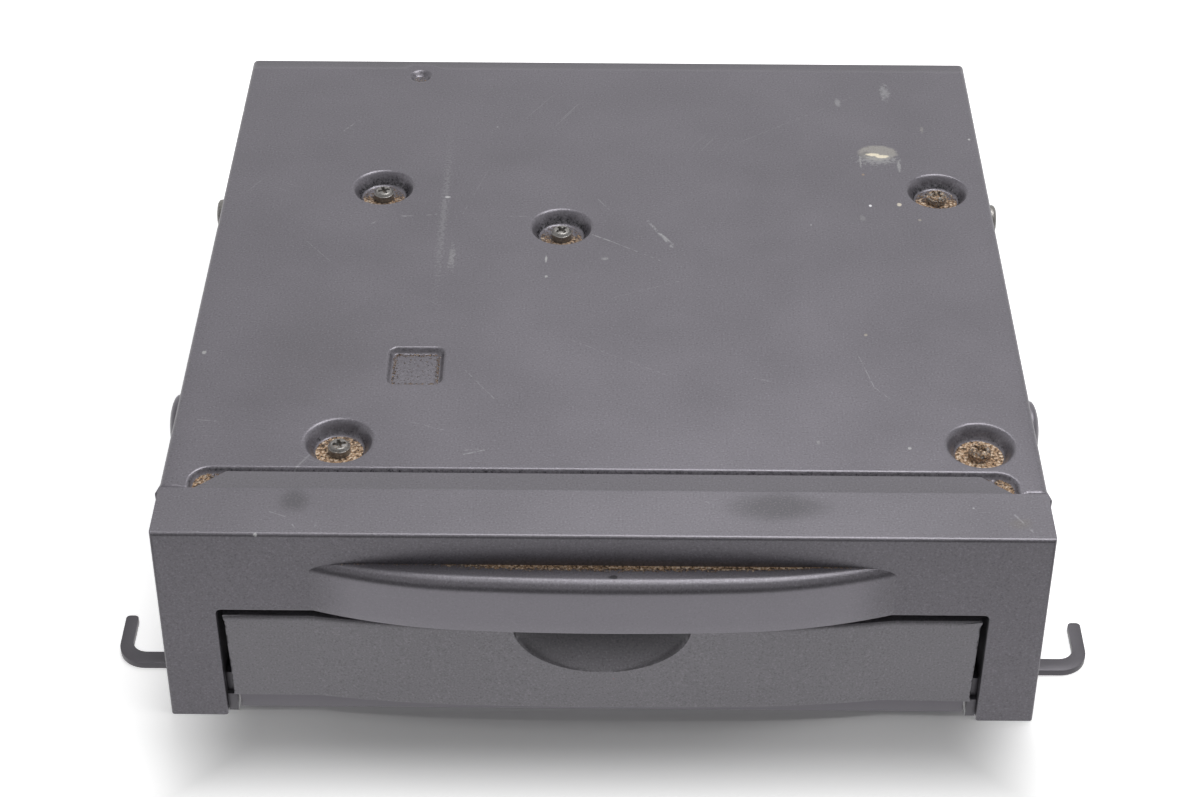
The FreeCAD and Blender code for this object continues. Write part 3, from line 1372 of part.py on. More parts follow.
def make_clamp():
    """Clamp arm hinged behind the disc, and the clamper hanging in its hole."""
    arm = Piece(doc, "clamp_arm")
    hinge = CLAMP_HINGE_Y
    low, high = d.clamp_plate_z, d.clamp_plate_z + d.clamp_sheet
    half = d.clamp_half_width
    nose = SPINDLE_Y - d.clamp_nose
    corner = nose + d.clamp_nose_corner
    tip_half = half - d.clamp_nose_cut
    wide = d.clamp_ear_x
    flare_start, flare_end = hinge - d.clamp_flare_start, hinge - d.clamp_flare_end
    plate = [(-tip_half, nose), (tip_half, nose), (half, corner), (half, flare_start), (wide, flare_end),
             (wide, hinge), (-wide, hinge), (-wide, flare_end), (-half, flare_start), (-half, corner)]
    arm.add("XY", low, high, plate)
    arm.add("YZ", -wide, wide, flats(hinge, CLAMP_HINGE_Z, d.clamp_pin_radius + d.clamp_barrel_wall, BORE))
    arm.cut("YZ", -wide, wide, flats(hinge, CLAMP_HINGE_Z, d.clamp_pin_radius + d.running_gap, BORE))
    arm.cut("XY", low, high, flats(0, SPINDLE_Y, d.clamper_neck + d.clamp_hole_gap, ROUND))
    pin = Piece(doc, "clamp_arm_pin")
    slab = d.clamp_ear_x + d.ear_gap + d.deck_sheet + d.clamp_pin_end
    pin.add("YZ", -slab - d.ear_left, slab + d.ear_right,
            flats(hinge, CLAMP_HINGE_Z, d.clamp_pin_radius, BORE))
    clamper = Piece(doc, "clamper", (0, SPINDLE_Y, 0))
    foot = d.disc_plane + d.clamper_gap
    disc_top = foot + d.clamper_disc
    cap_low = high + d.clamper_lift
    clamper.add("XY", foot, disc_top, flats(0, 0, d.clamper_radius, LARGE))
    clamper.add("XY", disc_top, cap_low, flats(0, 0, d.clamper_neck, BORE))
    clamper.add("XY", cap_low, cap_low + d.clamper_cap_height, flats(0, 0, d.clamper_cap, ROUND))


def make_pickup():
    """Guide rods in their blocks, the pickup sled with its lens, the lead screw and its motor."""
    front, back = FRONT + d.rod_front, ROD_BACK
    span = d.rod_block
    half = d.rod_block_half
    blocks = Piece(doc, "rod_blocks")
    rod_top = d.rod_z + d.rod_radius + d.rod_cover
    shapes = []
    for x in (-d.rod_x, d.rod_x):
        shapes.append(rect(x - half, front, x + half, front + span))
        shapes.append(rect(x - half, back - span, x + half, back))
    shapes.append(rect(d.screw_x - half, back - span, d.screw_x + half, back))
    blocks.add("XY", DECK_TOP, rod_top, *shapes)
    blocks.cut("XZ", front, back, *pair(flats(d.rod_x, d.rod_z, d.rod_radius, BORE)))
    blocks.cut("XZ", back - span, back, flats(d.screw_x, d.rod_z, d.lead_radius + d.running_gap, BORE))
    rods = Piece(doc, "guide_rods")
    rods.add("XZ", front, back, *pair(flats(d.rod_x, d.rod_z, d.rod_radius, BORE)))
    sled = Piece(doc, "pickup_sled")
    near = FRONT + d.sled_front
    far = near + d.sled_length
    middle = near + d.sled_length / 2
    sled.add("XZ", near, far,
             rect(-d.rod_x - d.sled_left, d.sled_bottom, d.screw_x + d.sled_right, d.sled_top))
    sled.cut("XZ", near, far, *pair(flats(d.rod_x, d.rod_z, d.rod_radius + d.running_gap, BORE)),
             flats(d.screw_x, d.rod_z, d.lead_radius + d.running_gap, BORE))
    head_top = d.disc_plane - d.sled_head_drop
    sled.add("XY", d.sled_top - d.sled_overlap, head_top,
             centred(Size.of(0), middle, d.sled_head_width, d.sled_head_length))
    lens = Piece(doc, "pickup_lens", (0, middle, head_top))
    lens.add("XY", 0, d.lens_rim, flats(0, 0, d.lens_radius, ROUND))
    lens.cone_add(d.lens_rim, d.lens_rim + d.lens_crown, d.lens_radius, d.lens_crown_radius, [(0, 0)], ROUND)
    # The lead screw turns in the rear block and in its motor's nose.
    motor_front = FRONT + d.sled_motor_front
    motor_back = motor_front + d.sled_motor_length
    bore_front = motor_back - d.sled_motor_bore
    motor = Piece(doc, "sled_motor")
    motor.add("XZ", motor_front, motor_back, flats(d.screw_x, d.rod_z, d.sled_motor_radius, ROUND))
    motor.cut("XZ", bore_front, motor_back, flats(d.screw_x, d.rod_z, d.lead_radius + d.running_gap, BORE))
    side = d.screw_x + d.sled_motor_radius - d.motor_margin
    motor.add("XZ", motor_front + d.saddle_inset, motor_back - d.saddle_inset,
              rect(side, DECK_TOP, side + d.saddle_width, DECK_TOP + d.saddle_sheet))
    screw = Piece(doc, "lead_screw")
    screw.add("XZ", bore_front + d.screw_end_gap, back, flats(d.screw_x, d.rod_z, d.lead_radius, BORE))


# Electronics


def board_holes(half, sides):
    """Outlines at the main board's four fixing holes."""
    x = BOARD_HALF - d.board_hole_inset
    spots = []
    for y in (BOARD_FRONT + d.board_hole_inset, BOARD_BACK - d.board_hole_inset):
        spots.extend([(-x, y), (x, y)])
    return [flats(x, y, half, sides) for x, y in spots]


def make_main_board():
    """Main board on its standoffs, with its screws, chips and capacitors."""
    low, high = d.board_z, BOARD_TOP
    board = Piece(doc, "main_board")
    board.add("XY", low, high, rect(-BOARD_HALF, BOARD_FRONT, BOARD_HALF, BOARD_BACK))
    board.cut("XY", low, high, *board_holes(d.board_hole, SMALL))
    shank = d.board_hole - d.board_screw_gap
    posts = Piece(doc, "board_standoffs")
    posts.add("XY", d.plate, low, *board_holes(d.standoff_radius, HEX))
    posts.cut("XY", d.plate, low, *board_holes(shank, SMALL))
    screws = Piece(doc, "board_screws")
    screws.add("XY", d.plate + d.board_screw_end, high, *board_holes(shank, SMALL))
    screws.add("XY", high, high + d.board_screw_head, *board_holes(d.standoff_radius, HEX))
    chips = Piece(doc, "main_chips")
    chips.add("XY", high, high + d.chip_height,
              centred(d.large_chip_x, FRONT + d.large_chip_y, d.large_chip, d.large_chip),
              centred(d.medium_chip_x, FRONT + d.medium_chip_y, d.medium_chip, d.medium_chip),
              centred(d.long_chip_x, FRONT + d.long_chip_y, d.long_chip, d.long_chip_depth))
    cans = Piece(doc, "board_capacitors")
    x, y = BOARD_HALF - d.can_inset, BOARD_BACK - d.can_back
    spots = [(-x, y), (d.can_pitch - x, y), (x, y), (x, y - d.can_row)]
    cans.add("XY", high, high + d.can_height, *[flats(x, y, d.can_radius, BORE) for x, y in spots])


def make_connectors():
    """Rear connectors with their contacts, the aerial socket and the support bush."""
    high = BOARD_TOP
    rear = BACK + d.harness_proud
    start = rear - d.harness_depth - d.connector_floor
    for label, x, width, height, wall in (
            ("harness_connector", d.harness_x, d.harness_width, d.harness_height, d.harness_wall),
            ("display_connector", d.display_x, d.display_width, d.display_height, d.display_wall)):
        shell = Piece(doc, label)
        shell.add("XZ", start, rear, rect(x - width / 2, high, x + width / 2, high + height))
        shell.cut("XZ", rear - d.harness_depth, rear,
                  rect(x - width / 2 + wall, high + wall, x + width / 2 - wall, high + height - wall))
    pins = Piece(doc, "connector_pins")
    contacts = []
    middle = high + d.harness_height / 2
    for index in range(-4, 5):
        for level in (middle - d.harness_row / 2, middle + d.harness_row / 2):
            contacts.append(centred(d.harness_x + d.harness_pitch * index, level, d.contact, d.contact))
    for index in range(6):
        contacts.append(centred(d.display_x + d.display_pitch * (index - 2.5), high + d.display_height / 2,
                                d.display_contact, d.display_contact))
    pins.add("XZ", rear - d.harness_depth, rear - d.contact_inset, *contacts)
    aerial = Piece(doc, "aerial_socket", (d.aerial_x, 0, aerial_height()))
    aerial_front = REAR_FRONT - d.aerial_block
    aerial_end = BACK + d.aerial_proud
    aerial.add("XZ", aerial_front, aerial_end, flats(0, 0, d.aerial_radius, ROUND))
    aerial.add("XZ", aerial_front, REAR_FRONT - d.seat_gap,
               rect(-d.aerial_block_half, -d.aerial_radius - d.aerial_rise,
                    d.aerial_block_half, d.aerial_block_top))
    aerial.cut("XZ", aerial_end - d.aerial_bore_depth, aerial_end, flats(0, 0, d.aerial_bore, BORE))
    support = Piece(doc, "rear_support_bush", (d.bush_hole_x, 0, d.support_z))
    flange_front = REAR_FRONT - d.support_flange
    end = flange_front + d.support_length
    support.add("XZ", flange_front, REAR_FRONT, flats(0, 0, d.support_radius, HEX))
    support.add("XZ", REAR_FRONT, end, flats(0, 0, d.support_core + d.support_wall, BORE))
    support.cut("XZ", flange_front, end, circle(0, 0, d.support_core))


def make_ribbon():
    """Flat cable from the main board up to the deck plate, with its socket."""
    ribbon = Piece(doc, "deck_ribbon_cable")
    socket_front = BOARD_FRONT + d.ribbon_inset
    socket_back = socket_front + d.ribbon_socket_depth
    socket_top = BOARD_TOP + d.ribbon_socket_height
    ribbon.add("XY", BOARD_TOP, socket_top,
               rect(-d.ribbon_socket_half, socket_front, d.ribbon_socket_half, socket_back))
    middle = (socket_front + socket_back) / 2
    face = middle + d.ribbon_sheet
    ribbon.add("XY", socket_top, d.deck_plate_z, rect(-d.ribbon_half, middle, d.ribbon_half, face))
    ribbon.add("XY", d.deck_plate_z - d.ribbon_sheet, d.deck_plate_z,
               rect(-d.ribbon_half, BOARD_FRONT - d.ribbon_reach, d.ribbon_half, face))


for make in (
        make_top_cover, make_bottom_chassis, make_rear_panel, make_top_cover_screws, make_side_fasteners,
        make_front_bezel, make_lower_rail, make_door_panel, make_door_carrier, make_door_hinge_pins,
        make_inner_fascia, make_fascia_trim, make_eject_button, make_button_board, make_drive_hanger,
        make_dampers, make_deck_frame, make_disc_guide, make_roller, make_gear_train, make_spindle,
        make_clamp, make_pickup, make_main_board, make_connectors, make_ribbon):
    make()
doc.recompute()

bodies = [item for item in doc.Objects if item.TypeId == "PartDesign::Body"]
for item in doc.Objects:
    if "Invalid" in item.State or "Error" in item.State:
        raise RuntimeError("%s failed to rebuild" % item.Name)
os.makedirs("parts", exist_ok=True)
for body in bodies:
    if body.Shape.isNull() or not body.Shape.isValid() or not body.Shape.Solids:
        raise RuntimeError("%s has no valid solid" % body.Label)
    body.Shape.exportStep(os.path.join("parts", "%s.step" % body.Label))
print("wrote %d parts" % len(bodies))
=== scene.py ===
"""Looks of a single-bay disc reader: pressed steel case, moulded bezel with a bowed brow, flip-down door."""

import json
import logging
import math
from dataclasses import dataclass, field
from enum import Enum
from typing import Callable, Iterable, Sequence

import bmesh
import bpy
from mathutils import Matrix, Vector


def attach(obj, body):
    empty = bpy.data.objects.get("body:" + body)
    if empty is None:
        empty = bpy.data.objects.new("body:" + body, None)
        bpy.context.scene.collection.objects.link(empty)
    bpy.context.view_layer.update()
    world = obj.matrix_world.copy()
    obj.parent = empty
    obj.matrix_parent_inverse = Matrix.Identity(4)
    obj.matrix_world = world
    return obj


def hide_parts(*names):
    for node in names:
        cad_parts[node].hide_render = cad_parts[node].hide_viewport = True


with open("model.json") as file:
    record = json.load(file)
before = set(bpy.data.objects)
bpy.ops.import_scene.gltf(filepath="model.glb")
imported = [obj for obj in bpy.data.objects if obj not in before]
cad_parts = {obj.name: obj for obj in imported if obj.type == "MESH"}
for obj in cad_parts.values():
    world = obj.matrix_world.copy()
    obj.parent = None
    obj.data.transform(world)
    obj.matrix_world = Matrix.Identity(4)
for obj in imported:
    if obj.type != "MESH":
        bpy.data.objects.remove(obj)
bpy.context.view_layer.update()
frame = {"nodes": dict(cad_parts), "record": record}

LOG = logging.getLogger("disc_reader")
MM = 0.001
FRONT = -89.3
TOP = 50.0

Colour = tuple[float, float, float]
Spot = tuple[float, float]
Mesh = bmesh.types.BMesh
Socket = bpy.types.NodeSocket
Sockets = bpy.types.bpy_prop_collection
Material = bpy.types.Material
Piece = bpy.types.Object
Feed = Socket | float | Sequence[float] | None


def smooth(value: float, low: float, high: float) -> float:
    """Ease a value from 0 at `low` to 1 at `high`.

    Args:
        value: the number to ease.
        low: where the result leaves 0.
        high: where the result reaches 1.

    Returns:
        The eased number, from 0 to 1.
    """
    share = min(max((value - low) / (high - low), 0.0), 1.0)
    return share * share * (3.0 - 2.0 * share)


def band(value: float, start: float, full: float, end: float, fade: float) -> float:
    """Rise from 0 to 1 and fall back.

    Args:
        value: the number to ease.
        start: where the result leaves 0.
        full: where it reaches 1.
        end: where it is 0 again.
        fade: the length of the fall before the end.

    Returns:
        The eased number, from 0 to 1.
    """
    return smooth(value, start, full) * smooth(end - value, 0.0, fade)


def rounded_rect(x: float, y: float, half: Spot, corner: float) -> float:
    """Distance from a rounded rectangle's edge.

    Args:
        x: place from the rectangle's middle.
        y: place from the rectangle's middle.
        half: half width and half length.
        corner: corner radius.

    Returns:
        The distance in millimetres, negative inside.
    """
    dx, dy = abs(x) - half[0] + corner, abs(y) - half[1] + corner
    outside = math.hypot(max(dx, 0.0), max(dy, 0.0))
    return outside + min(max(dx, dy), 0.0) - corner


class Net:
    """A node tree under construction, of a material, a world or a group."""

    def __init__(self, tree: bpy.types.NodeTree) -> None:
        """Start on an empty tree."""
        self.tree = tree
        tree.nodes.clear()

    def add(self, kind: str, feeds: dict[str | int, Feed] | None = None, **settings: object) -> bpy.types.Node:
        """Add a node, set its plain properties and feed its inputs.

        Args:
            kind: the node's type name.
            feeds: what feeds its inputs, by their names or numbers.
            settings: property values by name.

        Returns:
            The new node.
        """
        node = self.tree.nodes.new(kind)
        for name, value in settings.items():
            setattr(node, name, value)
        for key, value in (feeds or {}).items():
            self.feed(node.inputs[key], value)
        return node

    def feed(self, socket: Socket, value: Feed) -> None:
        """Link a socket to another, or set its own value, for a colour its three parts."""
        if isinstance(value, Socket):
            self.tree.links.new(value, socket)
        elif value is not None:
            socket.default_value = (*value, 1.0) if socket.type == "RGBA" else value

    def math(self, operation: str, first: Feed, second: Feed = None, clamp: bool = False) -> Socket:
        """Add a Math node.

        Args:
            operation: the node's operation.
            first: its first input.
            second: its second input.
            clamp: whether the result stays within 0 and 1.

        Returns:
            The result's socket.
        """
        return self.add("ShaderNodeMath", {0: first, 1: second}, operation=operation, use_clamp=clamp).outputs[0]

    def times(self, first: Feed, second: Feed) -> Socket:
        """Multiply two values."""
        return self.math("MULTIPLY", first, second)

    def plus(self, first: Feed, second: Feed, clamp: bool = False) -> Socket:
        """Add two values."""
        return self.math("ADD", first, second, clamp)

    def minus(self, first: Feed, second: Feed, clamp: bool = False) -> Socket:
        """Take the second value from the first."""
        return self.math("SUBTRACT", first, second, clamp)

    def swing(self, value: Feed, amount: Feed) -> Socket:
        """Scale how far a value lies from 0.5."""
        return self.times(self.minus(value, 0.5), amount)

    def vector(self, operation: str, first: Feed, second: Feed = None) -> Socket:
        """Add a Vector Math node and return its result's socket, a vector or a number."""
        node = self.add("ShaderNodeVectorMath", {0: first, 1: second}, operation=operation)
        return node.outputs["Value" if operation in ("DOT_PRODUCT", "LENGTH", "DISTANCE") else "Vector"]

    def ramp(self, value: Feed, low: Feed, high: Feed) -> Socket:
        """Ease a value from 0 at `low` to 1 at `high`, which may be the smaller one."""
        feeds = {"Value": value, "From Min": low, "From Max": high}
        return self.add("ShaderNodeMapRange", feeds, interpolation_type="SMOOTHSTEP", clamp=True).outputs["Result"]

    def noise(self, vector: Feed, scale: Feed, detail: float = 2.0, rough: float = 0.5) -> Socket:
        """Add a Noise texture and return its Fac socket."""
        feeds = {"Vector": vector, "Scale": scale, "Detail": detail, "Roughness": rough}
        return self.add("ShaderNodeTexNoise", feeds).outputs["Fac"]

    def mix(self, share: Feed, first: Feed, second: Feed) -> Socket:
        """Blend two colours by a share and return the result's socket."""
        feeds = {"Factor": share, 6: first, 7: second}
        return self.add("ShaderNodeMix", feeds, data_type="RGBA", clamp_factor=True).outputs[2]

    def split(self, vector: Feed) -> Sockets:
        """Split a vector into its X, Y and Z sockets."""
        return self.add("ShaderNodeSeparateXYZ", {0: vector}).outputs


def shade(colour: Colour, share: float) -> Colour:
    """Darken or lighten a colour, up to white."""
    return tuple(min(c * share, 1.0) for c in colour)


def grey(level: float) -> Colour:
    """Give a grey of one level."""
    return (level, level, level)


def metres(spot: Sequence[float]) -> tuple[float, ...]:
    """Turn millimetres into metres."""
    return tuple(c * MM for c in spot)


def number(value: float) -> tuple[str, float]:
    """Describe a group's input that takes a number."""
    return ("NodeSocketFloat", value)


PLACE = ("NodeSocketVector", (0.0, 0.0, 0.0))
TINT = ("NodeSocketColor", (0.5, 0.5, 0.5, 1.0))
MASK = {"Mask": "NodeSocketFloat"}


class Effect:
    """A shader node group, built once and placed in each material with its own values."""

    NAME = "effect"
    INPUTS: dict[str, tuple[str, object]] = {}
    OUTPUTS: dict[str, str] = MASK

    def tree(self) -> bpy.types.NodeTree:
        """Return the group, made at its first use."""
        made = bpy.data.node_groups.get(self.NAME)
        if made is not None:
            return made
        made = bpy.data.node_groups.new(self.NAME, "ShaderNodeTree")
        for name, (kind, value) in self.INPUTS.items():
            socket = made.interface.new_socket(name, in_out="INPUT", socket_type=kind)
            socket.default_value = value
        for name, kind in self.OUTPUTS.items():
            made.interface.new_socket(name, in_out="OUTPUT", socket_type=kind)
        net = Net(made)
        source = net.add("NodeGroupInput").outputs
        target = net.add("NodeGroupOutput").inputs
        for name, value in self.build(net, source).items():
            net.feed(target[name], value)
        return made

    def build(self, net: Net, source: Sockets) -> dict[str, Socket]:
        """Make the group's inside.

        Args:
            net: the group's tree.
            source: the group's inputs.

        Returns:
            What feeds each output, by name.
        """
        raise NotImplementedError

    def place(self, net: Net, **values: Feed) -> Sockets:
        """Place the group in a tree.

        Args:
            net: the tree that takes it.
            values: what feeds its inputs, by name.

        Returns:
            The placed node's outputs.
        """
        return net.add("ShaderNodeGroup", values, node_tree=self.tree()).outputs


class Grain(Effect):
    """Fine raised grain of paint and moulded plastic, with slow changes of tone."""

    NAME = "fine_grain"
    INPUTS = {"Vector": PLACE, "Scale": number(2500.0)}
    OUTPUTS = {"Height": "NodeSocketFloat", "Tone": "NodeSocketFloat"}

    def build(self, net: Net, source: Sockets) -> dict[str, Socket]:
        """Add fine and coarser noise for the height, and a slow one for the tone."""
        fine = net.noise(source["Vector"], source["Scale"], 2.0, 0.6)
        coarse = net.noise(source["Vector"], net.times(source["Scale"], 0.23), 2.0, 0.5)
        slow = net.noise(source["Vector"], 38.0, 4.0, 0.6)
        return {
            "Height": net.plus(net.times(fine, 0.65), net.times(coarse, 0.35)),
            "Tone": net.plus(net.times(slow, 0.7), net.times(fine, 0.3)),
        }


class Patch(Effect):
    """An oval patch round a place, with a broken edge."""

    NAME = "patch"
    INPUTS = {
        "Vector": PLACE, "Centre": PLACE, "Reach": PLACE,
        "Soft": number(0.5), "Broken": number(0.3), "Scale": number(600.0),
    }

    def build(self, net: Net, source: Sockets) -> dict[str, Socket]:
        """Measure the scaled distance from the centre and break it up with noise."""
        away = net.vector("SUBTRACT", source["Vector"], source["Centre"])
        length = net.vector("LENGTH", net.vector("DIVIDE", away, source["Reach"]))
        bumps = net.noise(source["Vector"], source["Scale"], 5.0, 0.7)
        length = net.plus(length, net.swing(bumps, source["Broken"]))
        return {"Mask": net.ramp(length, 1.0, net.minus(1.0, source["Soft"]))}


class Stroke(Effect):
    """A thin scratch between two places on a level surface."""

    NAME = "stroke"
    INPUTS = {"Vector": PLACE, "Start": PLACE, "Run": PLACE, "Width": number(0.0002)}

    def build(self, net: Net, source: Sockets) -> dict[str, Socket]:
        """Measure the distance from the line and break it up along its length."""
        away = net.vector("SUBTRACT", source["Vector"], source["Start"])
        along = net.vector("DOT_PRODUCT", away, source["Run"])
        whole = net.vector("DOT_PRODUCT", source["Run"], source["Run"])
        feeds = {0: source["Run"], "Scale": net.math("DIVIDE", along, whole, clamp=True)}
        near = net.add("ShaderNodeVectorMath", feeds, operation="SCALE").outputs["Vector"]
        line = net.ramp(net.vector("DISTANCE", away, near), source["Width"], 0.0)
        wear_and_painted_light = net.ramp(net.noise(source["Vector"], 700.0, 3.0, 0.7), 0.42, 0.58)
        return {"Mask": net.times(line, wear_and_painted_light)}


class Specks(Effect):
    """Sparse small specks."""

    NAME = "specks"
    INPUTS = {"Vector": PLACE, "Scale": number(250.0), "Amount": number(0.1), "Size": number(0.08)}

    def build(self, net: Net, source: Sockets) -> dict[str, Socket]:
        """Keep a share of the cells of a Voronoi texture and draw a dot in each."""
        feeds = {"Vector": source["Vector"], "Scale": source["Scale"]}
        cells = net.add("ShaderNodeTexVoronoi", feeds).outputs
        dot = net.ramp(cells["Distance"], source["Size"], net.times(source["Size"], 0.5))
        pick = net.add("ShaderNodeSeparateColor", {0: cells["Color"]}).outputs[0]
        return {"Mask": net.times(dot, net.math("LESS_THAN", pick, source["Amount"]))}


class HairLines(Effect):
    """Faint long hairline scratches, all one way, gathered in places."""

    NAME = "hair_lines"
    INPUTS = {"Vector": PLACE, "Turn": number(0.0), "Amount": number(0.5)}

    def build(self, net: Net, source: Sockets) -> dict[str, Socket]:
        """Stretch a noise along one direction and keep its narrow crests."""
        feeds = {"Vector": source["Vector"], "Angle": source["Turn"]}
        turned = net.add("ShaderNodeVectorRotate", feeds, rotation_type="Z_AXIS").outputs["Vector"]
        drawn = net.vector("MULTIPLY", turned, (26.0, 1500.0, 26.0))
        crest = net.ramp(net.noise(drawn, 1.0, 1.0, 0.4), 0.70, 0.76)
        place = net.ramp(net.noise(source["Vector"], 24.0, 2.0, 0.5), 0.62, 0.70)
        return {"Mask": net.times(net.times(crest, place), source["Amount"])}


class Mottle(Effect):
    """Fine light and dark spots over a colour."""

    NAME = "mottle"
    INPUTS = {"Vector": PLACE, "Colour": TINT, "Light": TINT, "Dark": TINT}
    OUTPUTS = {"Colour": "NodeSocketColor"}

    def build(self, net: Net, source: Sockets) -> dict[str, Socket]:
        """Lighten the crests of a fine noise and darken its troughs."""
        fine = net.noise(source["Vector"], 2400.0, 3.0, 0.6)
        colour = net.mix(net.times(net.ramp(fine, 0.53, 0.70), 0.30), source["Colour"], source["Light"])
        return {"Colour": net.mix(net.times(net.ramp(fine, 0.47, 0.30), 0.45), colour, source["Dark"])}


class SoilAndPaintedLight(Effect):
    """Crumbs where the `dirt` attribute is over 0, painted shade (a near-black film) where it is under 0, and painted
    light and shade by the second attribute: paler over 0, darker under 0.
    """

    NAME = "soil_and_painted_light"
    # Near-black colour of the painted shade on the dimples' walls, on the joggle's wall and round the recess's lip.
    PAINTED_SHADE_COLOUR = (0.012, 0.012, 0.014)
    PALE_CRUMB = (0.93, 0.78, 0.62)
    CRUMB_RELIEF = 22.0
    INPUTS = {
        "Vector": PLACE, "Colour": TINT, "Height": number(0.0), "Rough": number(0.5),
        "Light": TINT, "Deep": TINT, "Crumb": TINT, "Rust": TINT,
    }
    OUTPUTS = {"Colour": "NodeSocketColor", "Height": "NodeSocketFloat", "Rough": "NodeSocketFloat", **MASK}

    def build(self, net: Net, source: Sockets) -> dict[str, Socket]:
        """Lay the painted shade, the painted light and shade, and then the crumbs over the colour."""
        place = source["Vector"]
        amount = net.add("ShaderNodeAttribute", attribute_name="dirt").outputs["Fac"]
        blots = net.swing(net.noise(place, 1500.0, 4.0, 0.75), 1.3)
        # Painted shade: where the dirt attribute is under 0 the colour goes towards near black, in blots.
        painted_shade_mask = net.times(net.ramp(net.plus(amount, blots), -0.10, -0.70), net.ramp(amount, 0.0, -0.10))
        colour = net.mix(painted_shade_mask, source["Colour"], self.PAINTED_SHADE_COLOUR)
        rough = net.minus(source["Rough"], net.times(painted_shade_mask, 0.10))
        # Painted light and shade: the second attribute pales the colour towards the lit copy where it is over 0, and
        # darkens it towards the shaded copy where it is under 0.
        wear_and_painted_light = net.add("ShaderNodeAttribute", attribute_name="wear_and_painted_light").outputs["Fac"]
        colour = net.mix(net.times(wear_and_painted_light, 0.5), colour, source["Light"])
        colour = net.mix(net.times(wear_and_painted_light, -1.0), colour, source["Deep"])
        crumbs = net.noise(place, 1700.0, 4.0, 0.7)
        mask = net.ramp(net.minus(net.plus(amount, crumbs), 0.92), 0.0, 0.22)
        kinds = net.noise(place, 1600.0, 3.0, 0.65)
        crumb = net.mix(net.ramp(kinds, 0.40, 0.49), source["Rust"], source["Crumb"])
        crumb = net.mix(net.ramp(kinds, 0.53, 0.62), crumb, self.PALE_CRUMB)
        return {
            "Colour": net.mix(mask, colour, crumb),
            "Height": net.plus(source["Height"], net.times(mask, net.times(crumbs, self.CRUMB_RELIEF))),
            "Rough": net.plus(rough, net.times(mask, 0.4), clamp=True),
            "Mask": mask,
        }


class Texture(Enum):
    """What the surface of a finish is like."""

    GRAINED = "grained"
    BRUSHED = "brushed"
    FIBROUS = "fibrous"


@dataclass(frozen=True)
class Finish:
    """One finish: a colour, its gloss and the texture of its surface.

    Lengths are in millimetres and colours are linear.
    """

    name: str
    colour: Colour
    rough: float
    metal: float = 0.0
    texture: Texture = Texture.GRAINED
    grain: float = 0.40
    relief: float = 0.010
    tone: float = 0.14
    specular: float = 0.5
    dust: float = 0.0
    clear: float = 0.0

    def start(self) -> tuple[Net, bpy.types.Node, Socket]:
        """Make the material's tree with its shader.

        Returns:
            The tree, the shader node and the place on the surface.
        """
        material = bpy.data.materials.new(self.name)
        material.use_nodes = True
        net = Net(material.node_tree)
        shader = net.add("ShaderNodeBsdfPrincipled", {
            "Roughness": self.rough, "Metallic": self.metal,
            "Specular IOR Level": self.specular, "Transmission Weight": self.clear,
        })
        net.add("ShaderNodeOutputMaterial", {"Surface": shader.outputs["BSDF"]})
        return net, shader, net.add("ShaderNodeTexCoord").outputs["Object"]

    def surface(self, net: Net, place: Socket) -> tuple[Feed, Feed]:
        """Lay the texture.

        Args:
            net: the material's tree.
            place: the place on the surface.

        Returns:
            The height and the tone, each from 0 to 1.
        """
        scale = 1.0 / (self.grain * MM)
        if self.texture is Texture.BRUSHED:
            line = net.noise(net.vector("MULTIPLY", place, (1.0, 0.06, 1.0)), scale, 3.0, 0.6)
            return line, line
        if self.texture is Texture.FIBROUS:
            hair = net.noise(net.vector("MULTIPLY", place, (0.35, 1.0, 1.6)), scale, 6.0, 0.75)
            return hair, hair
        laid = Grain().place(net, Vector=place, Scale=scale)
        return laid["Height"], laid["Tone"]

    def bump(self, net: Net, shader: bpy.types.Node, height: Feed) -> None:
        """Raise the surface by a height from 0 to 1."""
        node = net.add("ShaderNodeBump", {"Strength": 1.0, "Distance": self.relief * MM, "Height": height})
        net.feed(shader.inputs["Normal"], node.outputs["Normal"])

    def shades(self, net: Net, tone: Feed) -> Socket:
        """Vary the colour by a tone from 0 to 1."""
        return net.mix(tone, shade(self.colour, 1.0 - self.tone), shade(self.colour, 1.0 + self.tone))

    def build(self) -> Material:
        """Make the material.

        Returns:
            The material.
        """
        net, shader, place = self.start()
        height, tone = self.surface(net, place)
        colour = self.shades(net, tone)
        if self.dust:
            specks = Specks().place(net, Vector=place, Scale=420.0, Amount=self.dust, Size=0.11)["Mask"]
            colour = net.mix(specks, colour, (0.34, 0.33, 0.30))
        net.feed(shader.inputs["Base Color"], colour)
        net.feed(shader.inputs["Roughness"], net.plus(net.swing(tone, 0.16), self.rough, clamp=True))
        self.bump(net, shader, height)
        return bpy.data.materials[self.name]


@dataclass(frozen=True)
class Mark:
    """A pale or dark patch on a level face: its middle, its half sizes and how strongly it shows."""

    middle: tuple[float, float, float]
    reach: tuple[float, float, float]
    colour: Colour
    share: float
    soft: float = 0.6
    broken: float = 0.5
    scale: float = 600.0


@dataclass(frozen=True)
class Scratch:
    """A fine scratch on a level face, from one place by a run."""

    start: tuple[float, float, float]
    run: tuple[float, float, float]
    width: float
    share: float


